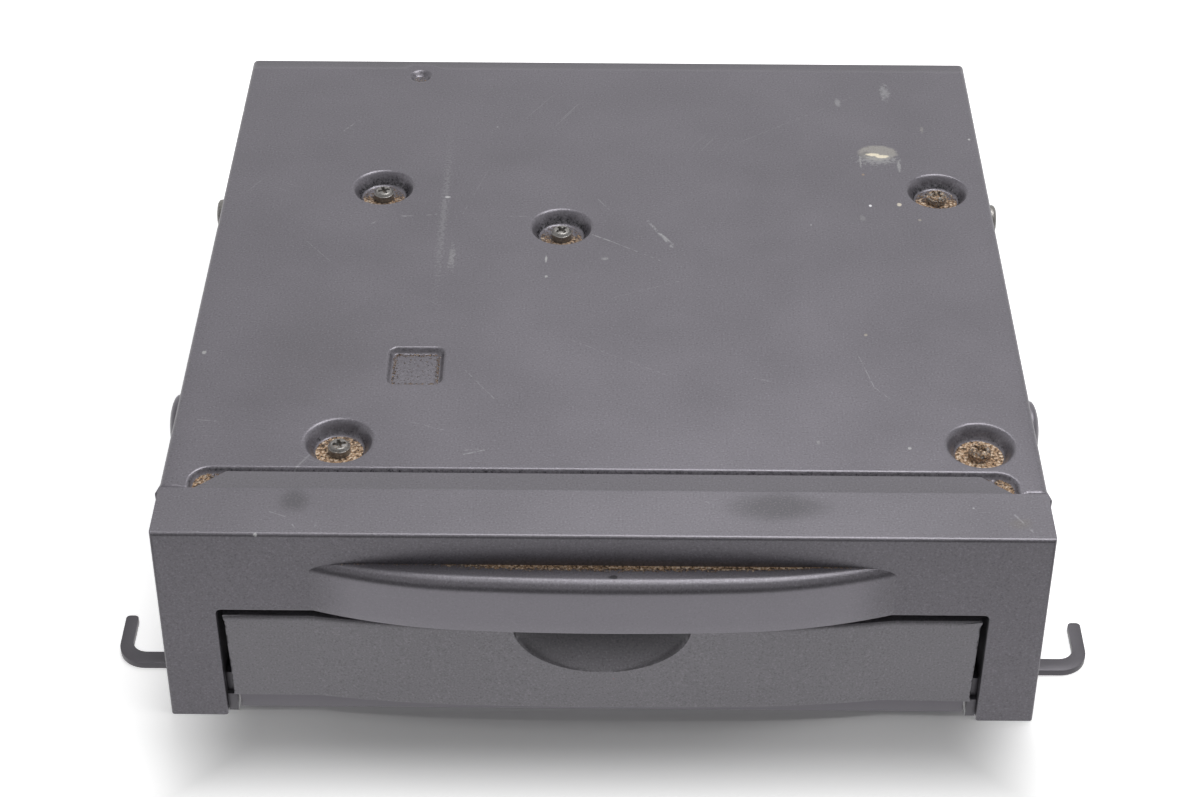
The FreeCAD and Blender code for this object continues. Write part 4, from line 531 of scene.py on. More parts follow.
@dataclass(frozen=True)
class WornFinish(Finish):
    """A finish with marks, scratches, and the dirt and the painted light and shade that the piece's own attributes
    ask for.
    """

    marks: tuple[Mark, ...] = ()
    scratches: tuple[Scratch, ...] = ()
    hairs: float = 0.0
    pale: Colour = (0.44, 0.44, 0.45)
    dirt: Colour = (0.50, 0.32, 0.19)

    def build(self) -> Material:
        """Make the material.

        Returns:
            The material.
        """
        net, shader, place = self.start()
        height, tone = self.surface(net, place)
        colour = self.shades(net, tone)
        rough = net.plus(net.swing(tone, 0.16), self.rough)
        bare: Feed = 1.0
        for mark in self.marks:
            mask = Patch().place(
                net, Vector=place, Centre=metres(mark.middle), Reach=metres(mark.reach),
                Soft=mark.soft, Broken=mark.broken, Scale=mark.scale,
            )["Mask"]
            share = net.times(mask, mark.share)
            colour = net.mix(share, colour, mark.colour)
            bare = net.times(bare, net.minus(1.0, share))
        for scratch in self.scratches:
            mask = Stroke().place(
                net, Vector=place, Start=metres(scratch.start), Run=metres(scratch.run), Width=scratch.width * MM,
            )["Mask"]
            colour = net.mix(net.times(mask, scratch.share), colour, self.pale)
        if self.hairs:
            for turn in (0.5, 2.1):
                mask = HairLines().place(net, Vector=place, Turn=turn, Amount=self.hairs)["Mask"]
                colour = net.mix(mask, colour, self.pale)
        if self.dust:
            mask = Specks().place(net, Vector=place, Scale=150.0, Amount=self.dust, Size=0.055)["Mask"]
            colour = net.mix(net.times(mask, 0.7), colour, self.pale)
        light, dark = shade(self.colour, 2.0), shade(self.colour, 0.4)
        colour = Mottle().place(net, Vector=place, Colour=colour, Light=light, Dark=dark)["Colour"]
        # The group below lays the dirt's crumbs, the painted shade and the painted light over the colour; the lit and
        # shaded copies of the colour are passed in.
        soiled_and_shaded = SoilAndPaintedLight().place(
            net, Vector=place, Colour=colour, Height=height, Rough=rough,
            Light=shade(self.colour, 1.9), Deep=shade(self.colour, 0.1), Crumb=self.dirt, Rust=shade(self.dirt, 0.15),
        )
        net.feed(shader.inputs["Base Color"], soiled_and_shaded["Colour"])
        net.feed(shader.inputs["Roughness"], net.math("MAXIMUM", soiled_and_shaded["Rough"], 0.05))
        bare = net.times(bare, net.minus(1.0, soiled_and_shaded["Mask"]))
        net.feed(shader.inputs["Metallic"], net.times(bare, self.metal))
        self.bump(net, shader, soiled_and_shaded["Height"])
        return bpy.data.materials[self.name]


@dataclass(frozen=True)
class BoardFinish(Finish):
    """Solder mask over copper tracks."""

    def build(self) -> Material:
        """Make the material with straight tracks and round pads under the mask."""
        net, shader, place = self.start()
        feeds = {"Vector": place, "Scale": 90.0, "Mortar Size": 0.028, "Mortar Smooth": 0.1}
        line = net.add("ShaderNodeTexBrick", feeds, offset=0.37, squash=1.0).outputs["Fac"]
        pads = Specks().place(net, Vector=place, Scale=330.0, Amount=0.16, Size=0.24)["Mask"]
        colour = net.mix(line, self.colour, shade(self.colour, 1.7))
        net.feed(shader.inputs["Base Color"], net.mix(pads, colour, (0.55, 0.54, 0.50)))
        self.bump(net, shader, net.plus(line, pads))
        return bpy.data.materials[self.name]


def top_marks(rows: Iterable[Sequence]) -> tuple[Mark, ...]:
    """Make marks on the top.

    Args:
        rows: for each mark x, y, half width, half length, colour, share, softness, brokenness and noise scale.

    Returns:
        The marks.
    """
    return tuple(Mark((x, y, TOP), (wide, long, 2.0), *rest) for x, y, wide, long, *rest in rows)


def top_scratches(rows: Iterable[Sequence[float]]) -> tuple[Scratch, ...]:
    """Make scratches on the top.

    Args:
        rows: for each scratch x, y, its run across and along, its width and its share.

    Returns:
        The scratches.
    """
    return tuple(Scratch((x, y, TOP), (across, along, 0.0), wide, share) for x, y, across, along, wide, share in rows)


COVER_MARKS = top_marks((
    (64.4, 48.9, 5.1, 3.6, (0.38, 0.36, 0.33), 0.72, 0.22, 0.5, 420.0),
    (61.4, 48.0, 1.9, 1.9, (0.17, 0.165, 0.165), 0.6, 0.5, 1.6, 700.0),
    (64.2, 45.9, 4.9, 2.2, grey(0.40), 0.50, 0.5, 4.4, 1300.0),
    (63.1, 48.2, 1.9, 0.75, (0.93, 0.84, 0.66), 0.95, 0.35, 0.8, 1200.0),
    (65.3, 47.4, 1.9, 0.85, (0.93, 0.84, 0.66), 0.95, 0.35, 0.8, 1200.0),
    (60.0, 45.0, 0.35, 3.2, grey(0.40), 0.55, 0.6, 2.0, 1300.0),
    (69.0, 43.4, 0.6, 3.0, grey(0.42), 0.6, 0.6, 2.4, 1300.0),
    (61.0, 26.6, 0.42, 0.55, (0.92, 0.91, 0.93), 0.95, 0.4, 0.4, 900.0),
    (67.7, 27.1, 0.66, 0.80, (0.70, 0.64, 0.54), 0.95, 0.35, 0.6, 900.0),
    (60.3, 39.6, 0.45, 0.5, (0.34, 0.25, 0.18), 0.8, 0.5, 1.0, 900.0),
    (71.9, 20.9, 0.5, 0.4, (0.42, 0.38, 0.32), 0.7, 0.5, 1.0, 900.0),
    (58.8, 21.6, 0.9, 1.4, grey(0.30), 0.4, 0.7, 1.6, 700.0),
    (75.8, 59.2, 0.6, 1.6, (0.32, 0.31, 0.29), 0.5, 0.7, 2.0, 900.0),
    (86.8, 55.1, 0.35, 0.5, grey(0.60), 0.7, 0.5, 0.8, 900.0),
    (56.3, 71.5, 1.0, 2.2, (0.32, 0.32, 0.33), 0.6, 0.6, 1.6, 700.0),
    (68.2, 76.2, 1.3, 4.0, (0.38, 0.38, 0.39), 0.5, 0.6, 3.8, 1000.0),
    (-37.4, 22.0, 0.9, 26.0, (0.34, 0.34, 0.35), 0.28, 0.7, 6.4, 1500.0),
    (-34.6, 4.5, 0.9, 5.0, grey(0.38), 0.40, 0.7, 5.4, 1400.0),
    (-36.8, 28.9, 0.8, 0.35, (0.72, 0.72, 0.73), 0.8, 0.5, 0.8, 900.0),
    (-13.4, 4.4, 0.35, 1.6, grey(0.55), 0.7, 0.6, 1.2, 900.0),
    (-13.2, -2.3, 0.4, 0.6, grey(0.50), 0.7, 0.5, 1.2, 900.0),
    (-0.2, 4.7, 1.0, 0.7, grey(0.40), 0.5, 0.6, 2.4, 1200.0),
    (62.4, -61.3, 0.45, 0.5, grey(0.50), 0.8, 0.5, 0.8, 900.0),
    (43.9, -59.6, 0.5, 0.7, grey(0.34), 0.6, 0.5, 1.4, 900.0),
    (56.3, -23.0, 0.45, 0.6, (0.45, 0.40, 0.33), 0.7, 0.5, 1.0, 900.0),
    (-85.5, -31.0, 0.6, 0.8, grey(0.50), 0.7, 0.5, 1.6, 900.0),
    # Painted shade: a broad soft darker patch over the left front of the top.
    (-60.0, -30.0, 24.0, 30.0, (0.120, 0.112, 0.124), 0.30, 0.9, 0.5, 60.0),
)) + (
    Mark((-88.9, 66.0, 49.2), (0.5, 1.6, 0.8), (0.70, 0.69, 0.66), 0.8, 0.4, 1.6, 700.0),
    Mark((-88.9, 18.0, 48.8), (0.6, 1.5, 1.1), (0.70, 0.69, 0.66), 0.8, 0.4, 1.6, 700.0),
    Mark((-88.9, -8.0, 49.3), (0.5, 1.0, 0.7), (0.62, 0.61, 0.58), 0.7, 0.4, 1.6, 700.0),
)
COVER_SCRATCHES = top_scratches((
    (9.6, 19.6, 5.4, -10.4, 0.55, 0.65), (11.8, 15.6, 3.6, -5.4, 0.40, 0.75),
    (-3.0, 14.0, 4.3, -2.6, 0.28, 0.7), (1.3, 11.4, 11.0, -7.4, 0.20, 0.45),
    (-8.6, -24.8, 22.0, -13.0, 0.16, 0.35), (54.2, -30.5, 2.6, -11.0, 0.18, 0.5),
    (56.6, -41.0, 3.4, -4.6, 0.16, 0.4), (31.6, -38.4, 4.2, -1.4, 0.26, 0.5),
    (-29.4, -36.6, 6.4, -9.4, 0.18, 0.4), (-46.8, 21.0, 2.6, 0.1, 0.42, 0.8),
    (-41.2, 21.4, 2.2, 0.5, 0.30, 0.6), (-53.5, 17.9, 0.9, 1.1, 0.34, 0.6),
    (-63.4, 57.0, 3.2, 4.7, 0.26, 0.55), (-23.3, 21.2, 5.2, 0.0, 0.22, 0.4),
    (-2.2, 28.9, 2.8, -4.6, 0.20, 0.4), (-29.2, -64.6, 5.1, 1.8, 0.26, 0.6),
    (-29.6, -63.2, 4.0, 0.6, 0.20, 0.5), (-40.1, -53.9, 7.1, -2.6, 0.18, 0.4),
    (-83.8, -53.8, 5.7, -0.6, 0.20, 0.4), (-61.0, 2.0, -7.0, 9.0, 0.16, 0.3),
    (-28.0, 40.0, -5.0, -18.0, 0.14, 0.25), (18.0, -3.0, -16.0, -7.0, 0.16, 0.3),
    (30.0, 52.0, 30.0, 22.0, 0.30, 0.16),
))
BEZEL_MARKS = top_marks((
    (34.4, -79.9, 13.6, 5.6, (0.045, 0.044, 0.048), 0.45, 0.75, 0.5, 160.0),
    (-61.4, -79.0, 4.2, 5.0, (0.045, 0.044, 0.048), 0.45, 0.8, 0.5, 160.0),
)) + (
    Mark((-68.0, -89.2, 49.8), (0.45, 0.6, 0.5), grey(0.72), 0.8, 0.4, 0.8, 900.0),
    Mark((2.2, -92.6, 42.4), (1.2, 0.7, 0.9), (0.010, 0.010, 0.012), 0.85, 0.5, 1.6, 900.0),
    Mark((82.0, -84.4, 50.0), (3.0, 2.4, 1.0), (0.19, 0.17, 0.13), 0.25, 0.8, 1.6, 400.0),
)
BEZEL_SCRATCHES = top_scratches((
    (81.4, -81.7, 3.0, -5.0, 0.40, 0.4), (-66.0, -82.4, 3.6, -1.6, 0.20, 0.35),
    (20.0, -78.0, 2.4, -1.8, 0.20, 0.3), (-56.6, -86.8, 0.6, 1.8, 0.30, 0.5),
    (-60.4, -87.4, -0.6, 1.2, 0.26, 0.4),
))

PAINTED = {"metal": 0.5, "grain": 0.32, "relief": 0.026, "tone": 0.20}
MOULDED = {"metal": 0.5, "grain": 0.28, "relief": 0.026, "tone": 0.20}
PAINT_COLOUR = (0.180, 0.170, 0.192)
RUST_SPOT = Mark((2.4, -92.0, 13.2), (0.55, 0.9, 0.55), (0.45, 0.08, 0.03), 0.95, 0.3, 0.6, 900.0)
PAINT = WornFinish(
    "case_paint", PAINT_COLOUR, 0.34, dust=0.045, marks=COVER_MARKS, scratches=COVER_SCRATCHES, hairs=0.30, **PAINTED,
)
SHEET_PAINT = Finish("sheet_paint", PAINT_COLOUR, 0.34, dust=0.02, **PAINTED)
CHASSIS_PAINT = Finish("chassis_paint", (0.118, 0.112, 0.125), 0.38, dust=0.02, **PAINTED)
BEZEL = WornFinish(
    "bezel_moulding", (0.176, 0.167, 0.187), 0.36, dust=0.035,
    marks=BEZEL_MARKS, scratches=BEZEL_SCRATCHES, **MOULDED,
)
DOOR = WornFinish("door_moulding", (0.216, 0.208, 0.226), 0.39, dust=0.045, marks=(RUST_SPOT,), **MOULDED)
RAIL = Finish("rail_moulding", (0.150, 0.143, 0.158), 0.42, 0.4, grain=0.30, relief=0.024, tone=0.20, dust=0.05)
SCREW_HEAD = WornFinish("screw_head", (0.25, 0.24, 0.23), 0.36, 0.7, grain=0.25, relief=0.012, tone=0.25)

FINISHES: dict[str, Finish] = {
    "painted_steel": SHEET_PAINT,
    "bezel_plastic": RAIL,
    "door_plastic": RAIL,
    "black_plastic": Finish("black_moulding", (0.022, 0.022, 0.023), 0.48, grain=0.35, relief=0.012, dust=0.05),
    "zinc_steel": Finish("zinc_plate", (0.55, 0.55, 0.53), 0.36, 0.9, Texture.BRUSHED, 0.5, 0.004, 0.10),
    "screw_steel": Finish("bright_steel", (0.50, 0.49, 0.47), 0.30, 1.0, Texture.BRUSHED, 0.2, 0.003, 0.12),
    "rubber": Finish("roller_rubber", (0.030, 0.029, 0.028), 0.72, grain=0.25, relief=0.012, specular=0.3),
    "felt": Finish("black_felt", (0.020, 0.020, 0.022), 0.95, 0.0, Texture.FIBROUS, 0.18, 0.12, 0.5, 0.1),
    "magnet": Finish("sintered_magnet", (0.11, 0.11, 0.115), 0.55, 0.4, grain=0.15, relief=0.02),
    "board_green": BoardFinish("board_mask", (0.022, 0.115, 0.050), 0.30, relief=0.03),
    "ivory_plastic": Finish("ivory_moulding", (0.62, 0.59, 0.50), 0.45, grain=0.5, relief=0.006, tone=0.05),
    "gear_plastic": Finish("acetal", (0.66, 0.65, 0.60), 0.38, grain=0.4, relief=0.005, tone=0.05),
    "window_plastic": Finish("smoked_window", (0.28, 0.035, 0.020), 0.12, relief=0.001, clear=0.7),
    "lens_glass": Finish("lens", (0.72, 0.80, 0.92), 0.03, relief=0.0004, tone=0.02, clear=0.9),
    "brass": Finish("plain_brass", (0.68, 0.48, 0.20), 0.32, 1.0, Texture.BRUSHED, 0.2, 0.003, 0.12),
    "aluminium": Finish("cast_aluminium", (0.62, 0.62, 0.63), 0.42, 1.0, grain=0.3, relief=0.010, tone=0.08),
    "chip_black": Finish("chip_resin", (0.024, 0.024, 0.026), 0.55, grain=0.15, relief=0.006),
}


def finish_mesh(bm: Mesh, name: str, body: str, material: Material,
                sharp: float = 35.0) -> Piece:
    """Turn a mesh under construction, in millimetres, into a piece that rides on a body.

    Args:
        bm: the mesh, freed here.
        name: the piece's name.
        body: the body that carries it.
        material: its material.
        sharp: edges that turn by more than this many degrees stay crisp.

    Returns:
        The new object.
    """
    bmesh.ops.scale(bm, vec=(MM, MM, MM), verts=bm.verts)
    limit = math.radians(sharp)
    for face in bm.faces:
        face.smooth = True
    for edge in bm.edges:
        if edge.is_manifold and edge.calc_face_angle(0.0) > limit:
            edge.smooth = False
    mesh = bpy.data.meshes.new(name)
    bm.to_mesh(mesh)
    bm.free()
    piece = bpy.data.objects.new(name, mesh)
    bpy.context.scene.collection.objects.link(piece)
    mesh.materials.append(material)
    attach(piece, body)
    LOG.info("%s: %d faces", name, len(mesh.polygons))
    return piece


def prism(plan: Sequence[Sequence[float]], rise: Sequence[float]) -> Mesh:
    """Carry a flat outline along a vector.

    Args:
        plan: the outline's corners.
        rise: how far it is carried.

    Returns:
        The closed mesh.
    """
    bm = bmesh.new()
    face = bm.faces.new([bm.verts.new(spot) for spot in plan])
    grown = bmesh.ops.extrude_face_region(bm, geom=[face])
    moved = [item for item in grown["geom"] if isinstance(item, bmesh.types.BMVert)]
    bmesh.ops.translate(bm, vec=rise, verts=moved)
    bmesh.ops.recalc_face_normals(bm, faces=bm.faces)
    return bm


def joined(parts: Iterable[Mesh]) -> Mesh:
    """Put several meshes into a new one and free them."""
    whole = bmesh.new()
    for part in parts:
        mesh = bpy.data.meshes.new("part")
        part.to_mesh(mesh)
        part.free()
        whole.from_mesh(mesh)
        bpy.data.meshes.remove(mesh)
    return whole


def close_up(bm: Mesh) -> None:
    """Fill a mesh's open rims and turn its faces outward."""
    bmesh.ops.holes_fill(bm, edges=[e for e in bm.edges if e.is_boundary], sides=0)
    bmesh.ops.recalc_face_normals(bm, faces=bm.faces)


def refine(bm: Mesh, near: Callable[[Vector], bool]) -> None:
    """Halve the faces whose middles pass a test.

    Args:
        bm: the mesh under construction.
        near: whether a face's middle is in the region.
    """
    chosen = {edge for face in bm.faces if near(face.calc_center_median()) for edge in face.edges}
    bmesh.ops.subdivide_edges(bm, edges=list(chosen), cuts=1, use_grid_fill=True)


def bevel_edges(bm: Mesh, edges: Iterable[bmesh.types.BMEdge], offset: float, segments: int = 3) -> None:
    """Round edges by an offset in the mesh's own unit."""
    bmesh.ops.bevel(bm, geom=list(edges), offset=offset, offset_type="OFFSET", affect="EDGES", segments=segments,
                    profile=0.5, material=-1, clamp_overlap=True)


def support_rims(bm: Mesh, area: float) -> None:
    """Inset the large flat faces a little, so that rounded edges don't shade them."""
    flats = [face for face in bm.faces if face.calc_area() > area]
    bmesh.ops.inset_individual(bm, faces=flats, thickness=0.12, use_even_offset=False)


@dataclass
class Dimple:
    """A round pressed dimple: its middle, the radii of its rim and floor, its depth, how dirty it is and how dark the
    painted shade on its walls is.
    """

    middle: Spot
    rim: float = 7.3
    floor: float = 4.7
    depth: float = 3.0
    dirt: float = 0.9
    grime_and_shade: float = 0.6

    def drop(self, x: float, y: float) -> float:
        """Depth of the pressing at a place."""
        away = math.hypot(x - self.middle[0], y - self.middle[1])
        return self.depth * smooth(self.rim - away, 0.0, self.rim - self.floor)

    def soil_and_painted_light(self, x: float, y: float) -> float:
        """How dirty the dimple is at a place: its floor most of all, on the side next to the bezel; under 0 on its
        walls, where shade is painted.
        """
        dx, dy = x - self.middle[0], y - self.middle[1]
        away = math.hypot(dx, dy)
        inside = smooth(self.floor + 0.6 - away, 0.0, 0.5)
        near = 0.72 + 0.28 * smooth(-dy, -2.6, 1.4)
        # Painted shade: the wall between the floor and the rim gets a negative amount, which the material paints near
        # black.
        wall = band(away, self.floor - 0.4, self.floor + 0.3, self.rim - 0.3, 2.2)
        return self.dirt * inside * near - self.grime_and_shade * wall * (1.0 - inside)


@dataclass
class TopCover:
    """The steel cover: one sheet with its pressings, folded down at both sides."""

    back: float = 89.3
    front: float = -75.3
    half: float = 89.0
    fold: float = 1.4
    fold_steps: int = 6
    foot: float = 1.6
    sheet: float = 1.0
    cell: float = 4.0
    window_heights: Spot = (46.9, 40.3)
    window_ends: Spot = (15.1, 22.3)
    joggle_half: float = 83.0
    joggle_back: float = -69.1
    joggle_depth: float = 1.3
    joggle_corner: float = 4.0
    label: Spot = (-40.1, -34.95)
    label_half: Spot = (5.5, 5.9)
    label_depth: float = 1.2
    dimples: list[Dimple] = field(default_factory=lambda: [
        Dimple((-52.0, 32.8), dirt=0.60, grime_and_shade=0.62), Dimple((77.0, 32.8), dirt=0.66, grime_and_shade=0.55),
        Dimple((-10.2, 17.2), dirt=0.58, grime_and_shade=0.62), Dimple((-54.2, -60.2), dirt=0.84, grime_and_shade=0.40),
        Dimple((77.0, -60.2), dirt=1.0, grime_and_shade=0.34),
    ])
    pip: Dimple = field(default_factory=lambda: Dimple((-46.5, 82.5), 2.9, 1.3, 1.1, 0.50, 0.5))

    def joggle(self, x: float, y: float) -> float:
        """Distance inside the joggle's edge."""
        length = (self.joggle_back - self.front) * 2.0
        return -rounded_rect(x, y - self.front, (self.joggle_half, length / 2.0), self.joggle_corner)

    def label_edge(self, x: float, y: float) -> float:
        """Distance inside the square recess's edge."""
        return -rounded_rect(x - self.label[0], y - self.label[1], self.label_half, 1.6)

    def drop(self, x: float, y: float) -> float:
        """How far the sheet is pressed down at a place."""
        deep = self.joggle_depth * smooth(self.joggle(x, y), -0.5, 0.7)
        deep += self.label_depth * smooth(self.label_edge(x, y), -0.7, 0.6)
        for dimple in [*self.dimples, self.pip]:
            deep = max(deep, dimple.drop(x, y))
        return deep

    def dirt(self, x: float, y: float) -> float:
        """How dirty the sheet is at a place; under 0 on the joggle's wall and the square recess's lip, where shade is
        painted.
        """
        amount = sum(dimple.soil_and_painted_light(x, y) for dimple in [*self.dimples, self.pip])
        edge = self.joggle(x, y)
        line = 0.48 * band(edge, 0.2, 0.5, 1.7, 0.8)
        corner = smooth(abs(x), 77.0, 79.5) * smooth(edge, 0.2, 0.6)
        inner = self.label_edge(x, y)
        pressed = smooth(inner, 0.2, 0.6) * (0.35 + 0.16 * smooth(1.7 - inner, 0.0, 1.0))
        clean = max(line, 0.64 * corner, pressed)
        # Painted shade: the joggle's wall and the square recess's lip get negative amounts, which the material paints
        # near black.
        wall = 0.3 * band(edge, -0.5, -0.1, 0.5, 0.4)
        lip = 0.22 * band(inner, -0.6, -0.2, 0.4, 0.4)
        return amount + clean if clean > 0.0 else amount - wall - lip

    def near(self, spot: Vector, grow: float) -> bool:
        """Whether a place on the flat sheet is near a pressing."""
        x, y = spot.x, spot.y
        if abs(x) > self.half - self.fold + 1.0:
            return False
        if any(math.hypot(x - d.middle[0], y - d.middle[1]) < d.rim + grow for d in [*self.dimples, self.pip]):
            return True
        return abs(self.joggle(x, y)) < 0.9 + grow or abs(self.label_edge(x, y)) < 1.2 + grow

    def folded(self, spot: Vector) -> Vector:
        """Take a place on the unrolled sheet to its place on the folded cover."""
        flat = self.half - self.fold
        across, arc = abs(spot.x), self.fold * math.pi / 2.0
        side = math.copysign(1.0, spot.x)
        if across <= flat:
            return Vector((spot.x, spot.y, TOP - self.drop(spot.x, spot.y)))
        if across <= flat + arc:
            turn = (across - flat) / self.fold
            return Vector((side * (flat + self.fold * math.sin(turn)), spot.y,
                           TOP - self.fold * (1.0 - math.cos(turn))))
        return Vector((side * self.half, spot.y, TOP - self.fold - (across - flat - arc)))

    def build(self, material: Material) -> Piece:
        """Make the cover.

        Args:
            material: the paint.

        Returns:
            The piece, which stands for the cover's node.
        """
        flat, arc = self.half - self.fold, self.fold * math.pi / 2.0
        reach = flat + arc + (TOP - self.fold - self.foot)
        length = self.back - self.front
        bm = bmesh.new()
        across, along = round(2 * reach / self.cell), round(length / self.cell)
        bmesh.ops.create_grid(bm, x_segments=across, y_segments=along, size=1.0)
        bmesh.ops.scale(bm, vec=(reach, length / 2.0, 1.0), verts=bm.verts)
        bmesh.ops.translate(bm, vec=(0.0, (self.back + self.front) / 2.0, 0.0), verts=bm.verts)
        for side in (-1.0, 1.0):
            for step in range(self.fold_steps + 1):
                self.slice(bm, (side * (flat + arc * step / self.fold_steps), 0.0, 0.0), (1.0, 0.0, 0.0))
        for grow in (3.0, 1.6, 0.6, 0.1):
            refine(bm, lambda middle, grow=grow: self.near(middle, grow))
        self.cut_windows(bm)
        layer = bm.verts.layers.float.new("dirt")
        for vert in bm.verts:
            if abs(vert.co.x) <= flat:
                vert[layer] = self.dirt(vert.co.x, vert.co.y)
            vert.co = self.folded(vert.co)
        bmesh.ops.recalc_face_normals(bm, faces=bm.faces)
        piece = finish_mesh(bm, "folded_cover", "case", material, sharp=75.0)
        wall = piece.modifiers.new("sheet", "SOLIDIFY")
        wall.thickness, wall.offset, wall.use_even_offset = self.sheet * MM, -1.0, True
        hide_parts("top_cover")
        return piece

    @staticmethod
    def slice(bm: Mesh, spot: Sequence[float], normal: Sequence[float]) -> None:
        """Cut the flat sheet along a line."""
        bmesh.ops.bisect_plane(bm, geom=[*bm.verts, *bm.edges, *bm.faces], dist=1e-4, plane_co=spot, plane_no=normal)

    def cut_windows(self, bm: Mesh) -> None:
        """Open the two side windows of the bezel's snaps on the unrolled sheet."""
        turned = self.half - self.fold + self.fold * math.pi / 2.0
        near, far = (turned + (TOP - self.fold - height) for height in self.window_heights)
        ends = tuple(FRONT + y for y in self.window_ends)
        for y in ends:
            self.slice(bm, (0.0, y, 0.0), (0.0, 1.0, 0.0))
        for side in (-1.0, 1.0):
            for x in (near, far):
                self.slice(bm, (side * x, 0.0, 0.0), (1.0, 0.0, 0.0))
        middles = [(face, face.calc_center_median()) for face in bm.faces]
        gone = [face for face, m in middles if near < abs(m.x) < far and ends[0] < m.y < ends[1]]
        bmesh.ops.delete(bm, geom=gone, context="FACES")


@dataclass
class Bow:
    """The bowed plan that the brow and the door share: a flat arc in the middle and one to each end."""

    half: float
    reach: float
    mid_half: float
    mid_reach: float

    def arcs(self) -> tuple[float, float]:
        """Radii of the middle arc and of the end arcs, which meet without a kink."""
        rise = self.reach - self.mid_reach
        middle = (self.mid_half ** 2 + rise ** 2) / (2.0 * rise)
        slope = self.mid_half / math.sqrt(middle ** 2 - self.mid_half ** 2)
        run = self.half - self.mid_half
        across = (run ** 2 + self.mid_reach ** 2) * math.sqrt(slope ** 2 + 1.0)
        flank = across / (2.0 * (self.mid_reach - slope * run))
        return middle, flank

    def at(self, x: float) -> float:
        """How far the bow stands out at a place across, 0 past its ends."""
        across = abs(x)
        if across >= self.half:
            return 0.0
        middle, flank = self.arcs()
        if across <= self.mid_half:
            return self.reach - (middle - math.sqrt(middle ** 2 - across ** 2))
        # The end arc's centre lies on the line from the middle arc's centre through the knee.
        slope = self.mid_half / math.sqrt(middle ** 2 - self.mid_half ** 2)
        lean = math.sqrt(1.0 + slope ** 2)
        cx = self.mid_half - flank * slope / lean
        cy = self.mid_reach - flank / lean
        return max(cy + math.sqrt(max(flank ** 2 - (across - cx) ** 2, 0.0)), 0.0)


